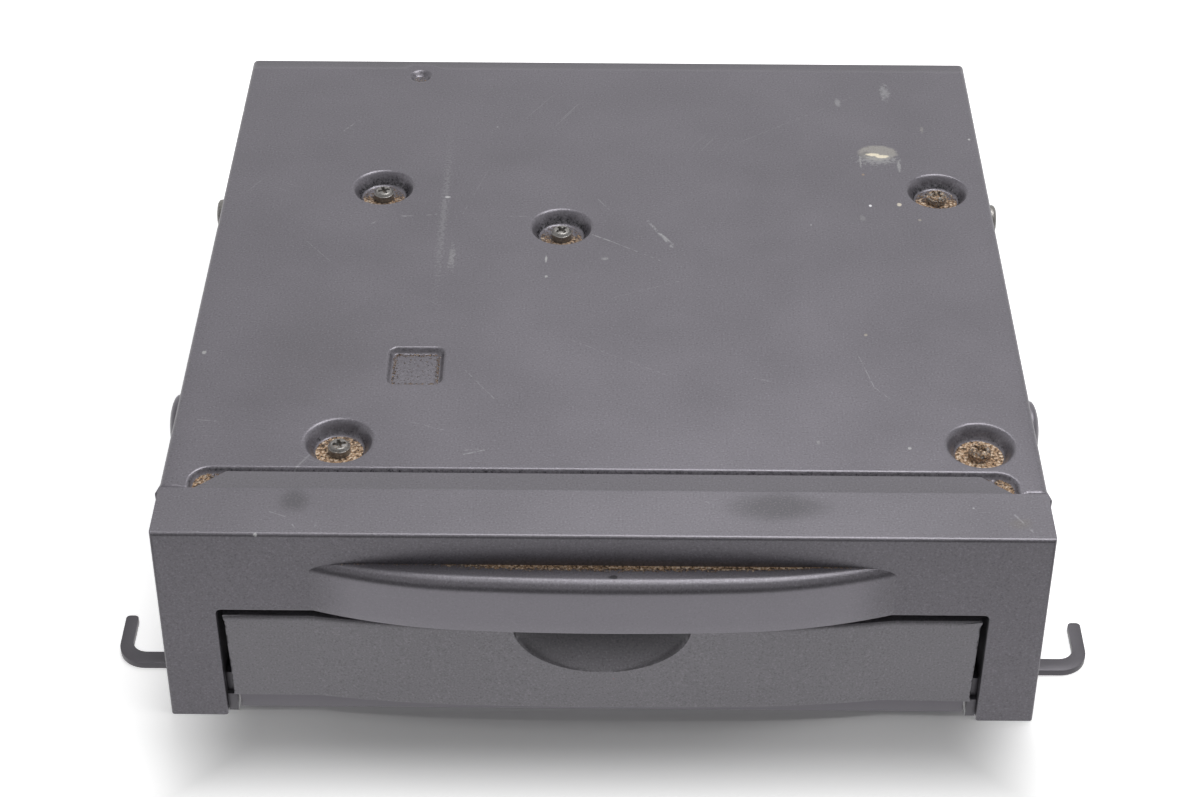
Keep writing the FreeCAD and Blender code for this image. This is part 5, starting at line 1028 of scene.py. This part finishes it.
@dataclass
class FrontBezel:
    """The moulded bezel: an arch round the door, the bowed brow, the tongue and the snaps."""

    depth: float = 14.0
    half_top: float = 88.9
    half_foot: float = 89.4
    window_half: float = 77.6
    window_top: float = 29.5
    window_corner: float = 1.0
    edge: float = 0.7
    small_edge: float = 0.5
    tongue_reach: float = 19.3
    tongue_half: float = 82.0
    tongue_bevel: float = 76.0
    tongue_thickness: float = 1.2
    snap_plan: tuple[Spot, ...] = ((87.0, 15.4), (90.4, 16.0), (88.9, 22.0), (87.0, 22.0))
    snap_foot: float = 40.6
    columns: int = 120
    snap_height: float = 6.0
    brow: Bow = field(default_factory=lambda: Bow(58.4 + 4.0 * 2.7, 6.22 + 4.0, 28.0, 5.5 + 4.0))
    brow_root: float = 4.0
    brow_foot: float = 29.8
    brow_top: float = 42.5
    brow_round: float = 2.6

    def arch(self) -> Mesh:
        """Make the arch with rounded outer edges and small radii round the door."""
        w, top, r = self.window_half, self.window_top, self.window_corner
        spots = [(-self.half_foot, 0.0), (-w, 0.0), (-w, top - r)]
        spots += [(-w + r - r * math.cos(a), top - r + r * math.sin(a)) for a in (math.radians(k) for k in (30, 60))]
        spots += [(-w + r, top)]
        mirror = [(-x, z) for x, z in reversed(spots)]
        corners = [*spots, *mirror, (self.half_top, TOP), (-self.half_top, TOP)]
        bm = prism([(x, FRONT, z) for x, z in corners], (0.0, self.depth, 0.0))
        front = [e for e in bm.edges if all(abs(v.co.y - FRONT) < 1e-3 for v in e.verts)]
        outer = [e for e in front if max(abs(v.co.x) for v in e.verts) > 85.0 and
                 min(v.co.z for v in e.verts) > -0.1 and not all(v.co.z < 0.1 for v in e.verts)]
        rest = [e for e in front if e not in outer]
        uprights = [e for e in bm.edges if e not in front and min(v.co.z for v in e.verts) > TOP - 0.1 and
                    max(v.co.y for v in e.verts) > FRONT + 1.0 and min(v.co.y for v in e.verts) < FRONT + 1.0]
        bevel_edges(bm, outer, self.edge, 4)
        for edges in (rest, uprights):
            bevel_edges(bm, [e for e in edges if e.is_valid], self.small_edge, 3)
        support_rims(bm, 30.0)
        return bm

    def brow_section(self, x: float) -> list[Spot]:
        """Section of the brow at a place across, as depths and heights from its root down to its foot."""
        face = FRONT + self.brow_root - self.brow.at(x)
        round_, top = self.brow_round, self.brow_top
        centre = face + round_
        inside = FRONT + 0.8
        spots = []
        if centre < FRONT:
            spots += [(inside, top), (FRONT, top), (centre, top)]
            low = 0.0
        else:
            share = min(max((centre - FRONT) / round_, -1.0), 1.0)
            low = math.asin(share)
            height = top - round_ + round_ * math.cos(low)
            spots += [(inside, height), ((inside + FRONT) / 2.0, height), (FRONT, height)]
        for step in range(1, 13):
            turn = low + (math.pi / 2.0 - low) * step / 12.0
            spots.append((centre - round_ * math.sin(turn), top - round_ + round_ * math.cos(turn)))
        foot, small = self.brow_foot, 0.22
        start = top - round_
        for share in (0.25, 0.5, 0.75):
            spots.append((face, start + (foot + small - start) * share))
        for turn in (0.0, 30.0, 60.0, 90.0):
            a = math.radians(turn)
            spots.append((face + small - small * math.cos(a), foot + small - small * math.sin(a)))
        spots += [((face + small + inside) / 2.0, foot), (max(inside, face + 0.5), foot)]
        return spots

    def brow_shell(self) -> Mesh:
        """Make the brow: its section carried across, with columns gathered towards its ends."""
        rows = len(self.brow_section(0.0))
        ends = self.tip()
        columns = self.columns
        bm = bmesh.new()
        bmesh.ops.create_grid(bm, x_segments=columns, y_segments=rows - 1, size=0.5)
        sections: dict[int, tuple[float, list[Spot]]] = {}
        for vert in bm.verts:
            column = round((vert.co.x + 0.5) * columns)
            row = round((vert.co.y + 0.5) * (rows - 1))
            if column not in sections:
                share = 2.0 * column / columns - 1.0
                x = ends * math.sin(share * math.pi / 2.0)
                sections[column] = (x, self.brow_section(x))
            x, section = sections[column]
            y, z = section[row]
            vert.co = Vector((x, y, z))
        close_up(bm)
        return bm

    def tip(self) -> float:
        """Where the brow's face meets the front plane."""
        low, high = 40.0, 75.0
        for _ in range(40):
            middle = (low + high) / 2.0
            if self.brow.at(middle) > self.brow_root:
                low = middle
            else:
                high = middle
        return low

    def tongue(self) -> Mesh:
        """Make the tongue that lies over the cover's joggle."""
        back, far = FRONT + self.depth, FRONT + self.tongue_reach
        wide, bevel = self.tongue_half, self.tongue_bevel
        plan = [(-wide, back, TOP), (wide, back, TOP), (bevel, far, TOP), (-bevel, far, TOP)]
        bm = prism(plan, (0.0, 0.0, -self.tongue_thickness))
        rim = [e for e in bm.edges if all(v.co.z > TOP - 0.1 for v in e.verts)
               and max(v.co.y for v in e.verts) > back + 0.1]
        bevel_edges(bm, rim, 0.25, 2)
        return bm

    def snap(self, side: float) -> Mesh:
        """Make the wedge that stands out through the cover's window on one side."""
        plan = [(side * x, FRONT + y, self.snap_foot) for x, y in self.snap_plan]
        bm = prism(plan, (0.0, 0.0, self.snap_height))
        bevel_edges(bm, [e for e in bm.edges if max(abs(v.co.x) for v in e.verts) > 88.0], 0.25, 2)
        return bm

    def build(self, material: Material) -> Piece:
        """Make the bezel.

        Args:
            material: the moulding's material.

        Returns:
            The piece, which stands for the bezel's node.
        """
        whole = joined((self.arch(), self.brow_shell(), self.tongue(), self.snap(-1.0), self.snap(1.0)))
        layer = whole.verts.layers.float.new("dirt")
        wear_and_painted_light = whole.verts.layers.float.new("wear_and_painted_light")
        for vert in whole.verts:
            on_ledge = smooth(abs(vert.co.z - self.brow_top), 0.4, 0.1) * smooth(-vert.co.y, 88.2, 89.0)
            out = smooth(FRONT - vert.co.y, 0.0, 3.0)
            # Painted light: the brow's face below its rounded top is painted paler than the rest of the moulding.
            vert[wear_and_painted_light] = out * smooth(self.brow_top - vert.co.z, 1.5, 2.4)
            root = smooth(FRONT + 0.2 - vert.co.y, 1.6, 0.0) if vert.co.y < FRONT + 1.0 else 0.0
            vert[layer] = on_ledge * root * (0.50 + 0.34 * smooth(46.0 - abs(vert.co.x - 8.0), 0.0, 22.0))
        piece = finish_mesh(whole, "bowed_bezel", "case", material, sharp=32.0)
        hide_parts("front_bezel")
        return piece


@dataclass
class DoorPanel:
    """The flip-down door's face, with the same bow as the brow and a dished finger scoop."""

    half_top: float = 76.6
    half_foot: float = 76.2
    foot: float = 4.8
    top: float = 27.0
    face: float = 1.0
    back: float = 3.0
    bow: Bow = field(default_factory=lambda: Bow(59.0, 2.9, 28.0, 2.53))
    chamfer: float = 0.8
    columns: int = 220
    scoop_half: float = 17.9
    scoop_height: float = 12.0
    scoop_depth: float = 4.3
    scoop_shade: float = 0.62

    def section(self, x: float) -> list[Spot]:
        """Section of the panel across its thickness, from the back of its top edge down to its foot."""
        face = FRONT + self.face - self.bow.at(x)
        cham, small = self.chamfer, 0.25
        spots = [(FRONT + self.back, self.top), (FRONT + self.back - 0.3, self.top), (face + cham, self.top)]
        spots += [(face + cham * 0.55, self.top - cham * 0.12), (face + cham * 0.2, self.top - cham * 0.42)]
        spots += [(face, self.top - cham)]
        rows = 60
        start, end = self.top - cham, self.foot + small
        spots += [(face, start + (end - start) * step / rows) for step in range(1, rows + 1)]
        for turn in (30.0, 60.0, 90.0):
            a = math.radians(turn)
            spots.append((face + small - small * math.cos(a), self.foot + small - small * math.sin(a)))
        spots += [(FRONT + self.back - 0.3, self.foot), (FRONT + self.back, self.foot)]
        return spots

    def gap(self, x: float, z: float) -> float:
        """How far the scoop's surface lies behind the panel's face at a place, negative outside the scoop."""
        down = (self.top - z) / self.scoop_height
        left = 1.0 - (x / self.scoop_half) ** 2 - down ** 2
        if left <= 0.0:
            return left * self.scoop_depth
        up = 1.0 - down
        across = math.sqrt(left / max(1.0 - down ** 2, 1e-6))
        return self.scoop_depth * (0.85 * up + 0.15 * up ** 2) * across

    def build(self, material: Material) -> Piece:
        """Make the door's face.

        Args:
            material: the moulding's material.

        Returns:
            The piece, which stands for the panel's node.
        """
        rows = len(self.section(0.0))
        columns = self.columns
        bm = bmesh.new()
        bmesh.ops.create_grid(bm, x_segments=columns, y_segments=rows - 1, size=0.5)
        for vert in bm.verts:
            share = 2.0 * vert.co.x
            row = round((vert.co.y + 0.5) * (rows - 1))
            x = share * self.half_top
            y, z = self.section(x)[row]
            lean = self.half_foot + (self.half_top - self.half_foot) * (z - self.foot) / (self.top - self.foot)
            vert.co = Vector((x * lean / self.half_top, y, z))
        self.cut_crease(bm)
        wear_and_painted_light = bm.verts.layers.float.new("wear_and_painted_light")
        for vert in bm.verts:
            x, y, z = vert.co
            deep = self.gap(x, z)
            if deep > 0.0 and y < FRONT + self.back - 0.5:
                vert.co.y = y + deep
                # Painted shade: the scoop's colour is darkened towards its top, under the brow.
                shaded = smooth(z, self.top - self.scoop_height, self.top - 1.5)
                vert[wear_and_painted_light] = -self.scoop_shade * smooth(deep, 0.0, 0.6) * shaded
        close_up(bm)
        sides = [e for e in bm.edges if min(abs(v.co.x) for v in e.verts) > self.half_foot - 0.01 and
                 max(v.co.y for v in e.verts) < FRONT + self.face + 1.0 and len(e.link_faces) == 2 and
                 e.calc_face_angle(0.0) > 1.0]
        bevel_edges(bm, sides, 0.4, 3)
        support_rims(bm, 60.0)
        piece = finish_mesh(bm, "bowed_door", "door", material, sharp=24.0)
        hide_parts("door_panel")
        return piece

    def cut_crease(self, bm: Mesh) -> None:
        """Split the face along the scoop's edge, so that the edge is crisp."""
        new = []
        for edge in list(bm.edges):
            first, last = edge.verts
            a, b = self.gap(first.co.x, first.co.z), self.gap(last.co.x, last.co.z)
            if a * b < 0.0 and min(abs(a), abs(b)) > 1e-3:
                low, high = 0.0, 1.0
                for _ in range(24):
                    middle = (low + high) / 2.0
                    spot = first.co.lerp(last.co, middle)
                    if self.gap(spot.x, spot.z) * a > 0.0:
                        low = middle
                    else:
                        high = middle
                _, spot = bmesh.utils.edge_split(edge, first, low)
                new.append(spot)
        bmesh.ops.connect_verts(bm, verts=new)


@dataclass
class CoverScrews:
    """Pan-head screws with cross recesses, standing in the cover's dimples."""

    spots: list[Spot] = field(default_factory=lambda: [
        (-52.0, 32.8), (77.0, 32.8), (-10.2, 17.2), (-54.2, -60.2), (77.0, -60.2)])
    radius: float = 2.3
    floor: float = 47.0
    height: float = 2.3
    cells: int = 56
    crown: float = 0.22
    rim_drop: float = 0.55
    cross_half: float = 0.155
    cross_reach: float = 0.60
    cross_middle: float = 0.30
    cross_depth: float = 1.0
    turns: tuple[float, ...] = (20.0, 48.0, 38.0, 12.0, 60.0)
    grime_and_shade: tuple[float, ...] = (0.26, 0.52, 0.24, 0.40, 0.58)

    def head(self, middle: Spot, turn: float) -> Mesh:
        """Make one head: a turned dome with a cross pressed into it."""
        bm = bmesh.new()
        bmesh.ops.create_grid(bm, x_segments=self.cells, y_segments=self.cells, size=1.0)
        for vert in bm.verts:
            x, y = vert.co.x, vert.co.y
            # The square grid is drawn onto a disc so that its rim is round.
            u, v = x * math.sqrt(1.0 - y * y / 2.0), y * math.sqrt(1.0 - x * x / 2.0)
            away = math.hypot(u, v)
            edge = smooth(away, 0.62, 1.0)
            z = self.height - self.crown * away * away - self.rim_drop * edge ** 2
            arm, reach = self.cross_half, self.cross_reach
            across = min(max(abs(u) - arm, abs(v) - reach), max(abs(v) - arm, abs(u) - reach))
            centre = self.cross_middle - away
            z -= self.cross_depth * smooth(max(-across, centre * 0.6), -0.02, 0.10)
            vert.co = Vector((u * self.radius, v * self.radius, z))
        grown = bmesh.ops.extrude_edge_only(bm, edges=[e for e in bm.edges if e.is_boundary])
        for item in grown["geom"]:
            if isinstance(item, bmesh.types.BMVert):
                item.co.z = 0.0
        close_up(bm)
        bmesh.ops.rotate(bm, cent=(0, 0, 0), matrix=Matrix.Rotation(math.radians(turn), 3, "Z"), verts=bm.verts)
        bmesh.ops.translate(bm, vec=(middle[0], middle[1], self.floor), verts=bm.verts)
        return bm

    def build(self, material: Material) -> Piece:
        """Make all the screws.

        Args:
            material: the screws' finish.

        Returns:
            The piece, which stands for the screws' node.
        """
        whole = joined(self.head(middle, turn) for middle, turn in zip(self.spots, self.turns))
        layer = whole.verts.layers.float.new("dirt")
        for vert in whole.verts:
            near = [math.hypot(vert.co.x - x, vert.co.y - y) for x, y in self.spots]
            inside = min(near)
            deep = self.floor + self.height - 0.5 - vert.co.z
            pit = 0.45 * smooth(1.3 - inside, 0.0, 0.4) * smooth(deep, 0.0, 0.4)
            vert[layer] = max(pit, self.grime_and_shade[near.index(inside)])
        piece = finish_mesh(whole, "cover_screw_heads", "case", material, sharp=50.0)
        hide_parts("top_cover_screws")
        return piece


@dataclass
class SideFasteners:
    """Turned heads at both sides: a screw high up and a larger domed guide stud near the front."""

    side: float = 89.0
    screw: tuple[float, float, float] = (29.3, 44.4, 3.5)
    stud: tuple[float, float, float] = (-45.3, 41.6, 6.5)

    def turned(self, profile: Sequence[Spot], side: float, y: float, z: float) -> Mesh:
        """Turn a profile of radii and heights about an axis across the case.

        Args:
            profile: radii and heights, from the wall to the crown.
            side: -1 for the left, 1 for the right.
            y: the axis's depth.
            z: the axis's height.

        Returns:
            The turned mesh.
        """
        bm = bmesh.new()
        verts = [bm.verts.new((radius, 0.0, height)) for radius, height in profile]
        edges = [bm.edges.new(pair) for pair in zip(verts, verts[1:])]
        bmesh.ops.spin(bm, geom=[*verts, *edges], cent=(0, 0, 0), axis=(0, 0, 1), steps=48, angle=math.tau,
                       use_merge=True)
        bmesh.ops.remove_doubles(bm, verts=bm.verts, dist=1e-4)
        close_up(bm)
        bmesh.ops.rotate(bm, cent=(0, 0, 0), matrix=Matrix.Rotation(side * math.pi / 2.0, 3, "Y"), verts=bm.verts)
        bmesh.ops.translate(bm, vec=(side * self.side, y, z), verts=bm.verts)
        return bm

    def build(self, screw_finish: Material, stud_finish: Material) -> list[Piece]:
        """Make the screws and the studs.

        Args:
            screw_finish: the screws' material.
            stud_finish: the studs' material.

        Returns:
            The two pieces.
        """
        y, z, r = self.screw
        head = [(r, 0.0), (r, 0.8), (r * 0.96, 1.15), (r * 0.82, 1.5), (r * 0.55, 1.66)]
        head += [(0.9, 1.7), (0.8, 0.9), (0.0, 0.8)]
        y2, z2, r2 = self.stud
        dome = [(r2, 0.0), (r2, 0.55)]
        dome += [(r2 * math.cos(a), 0.55 + 1.85 * math.sin(a)) for a in (math.radians(k) for k in range(12, 90, 13))]
        dome += [(0.0, 2.4)]
        made = []
        for name, node, profile, spot, material, slot in (
            ("side_screw_heads", "side_screws", head, (y, z), screw_finish, "screw_steel"),
            ("guide_stud_domes", "side_guide_studs", dome, (y2, z2), stud_finish, "painted_steel"),
        ):
            whole = joined(self.turned(profile, side, *spot) for side in (-1.0, 1.0))
            piece = finish_mesh(whole, name, "case", material)
            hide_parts(node)
            made.append(piece)
        return made


@dataclass
class SoftEdged:
    """A node whose shape is right and whose sharp edges are broken, as real edges are."""

    node: str
    body: str
    slot: str
    offset: float = 0.22
    segments: int = 2

    def build(self, material: Material) -> Piece:
        """Make the piece from the node's own solid.

        Args:
            material: its material.

        Returns:
            The piece, which stands for the node.
        """
        bm = bmesh.new()
        bm.from_mesh(frame["nodes"][self.node].data)
        bmesh.ops.scale(bm, vec=(1 / MM, 1 / MM, 1 / MM), verts=bm.verts)
        bmesh.ops.remove_doubles(bm, verts=bm.verts, dist=2e-3)
        bmesh.ops.dissolve_limit(bm, angle_limit=math.radians(0.6), verts=bm.verts, edges=bm.edges)
        sharp = [e for e in bm.edges if e.is_manifold and e.calc_face_angle(0.0) > math.radians(40.0)]
        bevel_edges(bm, sharp, self.offset, self.segments)
        bmesh.ops.triangulate(bm, faces=[f for f in bm.faces if len(f.verts) > 4])
        piece = finish_mesh(bm, "%s_soft" % self.node, self.body, material)
        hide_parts(self.node)
        return piece


@dataclass(frozen=True)
class StudioCamera:
    """The view of the photograph."""

    place: tuple[float, float, float] = (1.661, -459.575, 379.202)
    down: float = 38.502
    turn: float = 0.3508
    roll: float = -0.2207
    lens: float = 75.95

    def build(self) -> None:
        """Make the scene's camera."""
        pitch, roll = math.radians(self.down), math.radians(self.roll)
        spin = Matrix.Rotation(math.radians(self.turn), 3, "Z")
        ahead = Vector((0.0, math.cos(pitch), -math.sin(pitch)))
        right = Vector((1.0, 0.0, 0.0))
        below = ahead.cross(right)
        right, ahead, below = spin @ right, spin @ ahead, spin @ below
        across = right * math.cos(roll) + below * math.sin(roll)
        under = below * math.cos(roll) - right * math.sin(roll)
        data = bpy.data.cameras.new("camera")
        data.sensor_width, data.lens = 36.0, self.lens
        data.clip_start, data.clip_end = 0.01, 50.0
        camera = bpy.data.objects.new("camera", data)
        bpy.context.scene.collection.objects.link(camera)
        matrix = Matrix((across, -under, -ahead)).transposed().to_4x4()
        matrix.translation = Vector(self.place) * MM
        camera.matrix_world = matrix
        bpy.context.scene.camera = camera


@dataclass(frozen=True)
class SoftBox:
    """A soft lamp: where it hangs, its size and its power."""

    name: str
    place: tuple[float, float, float]
    size: Spot
    power: float

    def build(self) -> None:
        """Hang the lamp so that it faces the middle of the object."""
        data = bpy.data.lights.new(self.name, "AREA")
        data.shape, data.size, data.size_y, data.energy = "RECTANGLE", self.size[0], self.size[1], self.power
        lamp = bpy.data.objects.new(self.name, data)
        bpy.context.scene.collection.objects.link(lamp)
        place = Vector(self.place)
        lamp.location = place
        lamp.rotation_euler = (Vector((0.0, 0.0, 0.02)) - place).to_track_quat("-Z", "Y").to_euler()


@dataclass(frozen=True)
class Studio:
    """Pale floor, white surround and soft lamps."""

    floor_half: float = 2.5
    floor_gap: float = 0.0001
    floor_tone: float = 0.88
    floor_glow: float = 0.60
    contact_glow: float = 0.045
    fill: float = 0.16
    lamps: tuple[SoftBox, ...] = (
        SoftBox("top_lamp", (0.20, 0.19, 0.95), (0.9, 0.5), 7.6),
        SoftBox("front_lamp", (0.0, -0.22, 0.98), (0.8, 0.16), 0.9),
    )

    def build(self) -> None:
        """Set up the surround, the lamps and the floor."""
        for lamp in self.lamps:
            lamp.build()
        self.surround()
        bm = bmesh.new()
        bmesh.ops.create_grid(bm, x_segments=1, y_segments=1, size=self.floor_half)
        bmesh.ops.translate(bm, vec=(0.0, 0.0, -self.floor_gap), verts=bm.verts)
        mesh = bpy.data.meshes.new("floor")
        bm.to_mesh(mesh)
        bm.free()
        floor = bpy.data.objects.new("floor", mesh)
        bpy.context.scene.collection.objects.link(floor)
        mesh.materials.append(self.floor_material())

    def surround(self) -> None:
        """Make the world: white to the camera, even for soft light, dark low in front for reflections."""
        world = bpy.data.worlds.new("surround")
        world.use_nodes = True
        bpy.context.scene.world = world
        net = Net(world.node_tree)
        path = net.add("ShaderNodeLightPath").outputs
        ray = net.split(net.add("ShaderNodeTexCoord").outputs["Generated"])
        ahead = net.ramp(ray["Y"], -0.15, -0.6)
        low = net.ramp(ray["Z"], 0.62, 0.30)
        dark = net.times(net.times(ahead, low), 0.92)
        high = net.times(net.ramp(ray["Z"], 0.52, 0.80), 0.50)
        seen = net.minus(net.minus(1.0, dark), high, clamp=True)
        soft = net.times(net.minus(1.0, path["Is Glossy Ray"]), self.fill)
        light = net.plus(net.times(seen, path["Is Glossy Ray"]), soft)
        shown = net.math("MAXIMUM", path["Is Camera Ray"], path["Is Transmission Ray"])
        light = net.math("MAXIMUM", light, shown)
        back = net.add("ShaderNodeBackground", {"Strength": light})
        net.add("ShaderNodeOutputWorld", {"Surface": back.outputs[0]})

    def floor_material(self) -> Material:
        """Make the floor's material: white away from the object, and dark far in front for reflections."""
        material = bpy.data.materials.new("pale_floor")
        material.use_nodes = True
        net = Net(material.node_tree)
        path = net.add("ShaderNodeLightPath").outputs
        matt = net.add("ShaderNodeBsdfDiffuse", {"Color": grey(self.floor_tone)})
        spot = net.split(net.add("ShaderNodeTexCoord").outputs["Object"])
        # The glow starts outside the object's own shadow.
        across = net.minus(net.math("ABSOLUTE", spot["X"]), 0.070)
        along = net.minus(net.math("ABSOLUTE", spot["Y"]), 0.096)
        seen = net.math("MAXIMUM", path["Is Camera Ray"], path["Is Transmission Ray"])
        spread = net.times(net.ramp(net.math("MAXIMUM", across, along), 0.0, 0.030), self.floor_glow)
        contact = net.ramp(net.minus(spot["Y"], FRONT * MM), -0.008, 0.0)
        spread = net.plus(spread, net.times(contact, self.contact_glow))
        glow = net.add("ShaderNodeEmission", {"Strength": net.times(seen, spread)})
        both = net.add("ShaderNodeAddShader", {0: matt.outputs[0], 1: glow.outputs[0]})
        far = net.ramp(spot["Y"], -0.16, -0.26)
        mirrored = net.add("ShaderNodeEmission", {"Strength": net.minus(1.0, net.times(far, 0.90))})
        feeds = {0: path["Is Glossy Ray"], 1: both.outputs[0], 2: mirrored.outputs[0]}
        final = net.add("ShaderNodeMixShader", feeds)
        net.add("ShaderNodeOutputMaterial", {"Surface": final.outputs[0]})
        return material


class Reader:
    """The whole disc reader: its new pieces and the finishes of the nodes that stay."""

    SOFT = (
        SoftEdged("bottom_chassis", "case", "painted_steel", 0.30, 3),
        SoftEdged("lower_rail", "case", "bezel_plastic", 0.22, 2),
        SoftEdged("door_carrier", "door", "painted_steel", 0.18, 2),
    )

    def __init__(self) -> None:
        """Note the record's slots and start with no materials."""
        self.slots = {item["node"]: item["material_slot"] for item in frame["record"]["subparts"]}
        self.made: dict[str, Material] = {}

    def material(self, finish: Finish) -> Material:
        """Return a finish's material, made at its first use."""
        if finish.name not in self.made:
            self.made[finish.name] = finish.build()
        return self.made[finish.name]

    def dress_nodes(self) -> None:
        """Give every node its slot's finish."""
        for name, node in frame["nodes"].items():
            node.data.materials.clear()
            node.data.materials.append(self.material(FINISHES[self.slots[name]]))
            LOG.info("%s: %s", name, self.slots[name])

    def build(self) -> None:
        """Make every piece."""
        self.dress_nodes()
        TopCover().build(self.material(PAINT))
        FrontBezel().build(self.material(BEZEL))
        DoorPanel().build(self.material(DOOR))
        CoverScrews().build(self.material(SCREW_HEAD))
        SideFasteners().build(self.material(SCREW_HEAD), self.material(SHEET_PAINT))
        for soft in self.SOFT:
            soft.build(self.material(CHASSIS_PAINT if soft.node == "bottom_chassis" else FINISHES[soft.slot]))


def main() -> None:
    """Build the scene."""
    logging.basicConfig(level=logging.INFO, format="%(name)s %(message)s")
    bpy.context.scene.view_settings.view_transform = "Standard"
    StudioCamera().build()
    Studio().build()
    Reader().build()


if __name__ == "__main__":
    main()
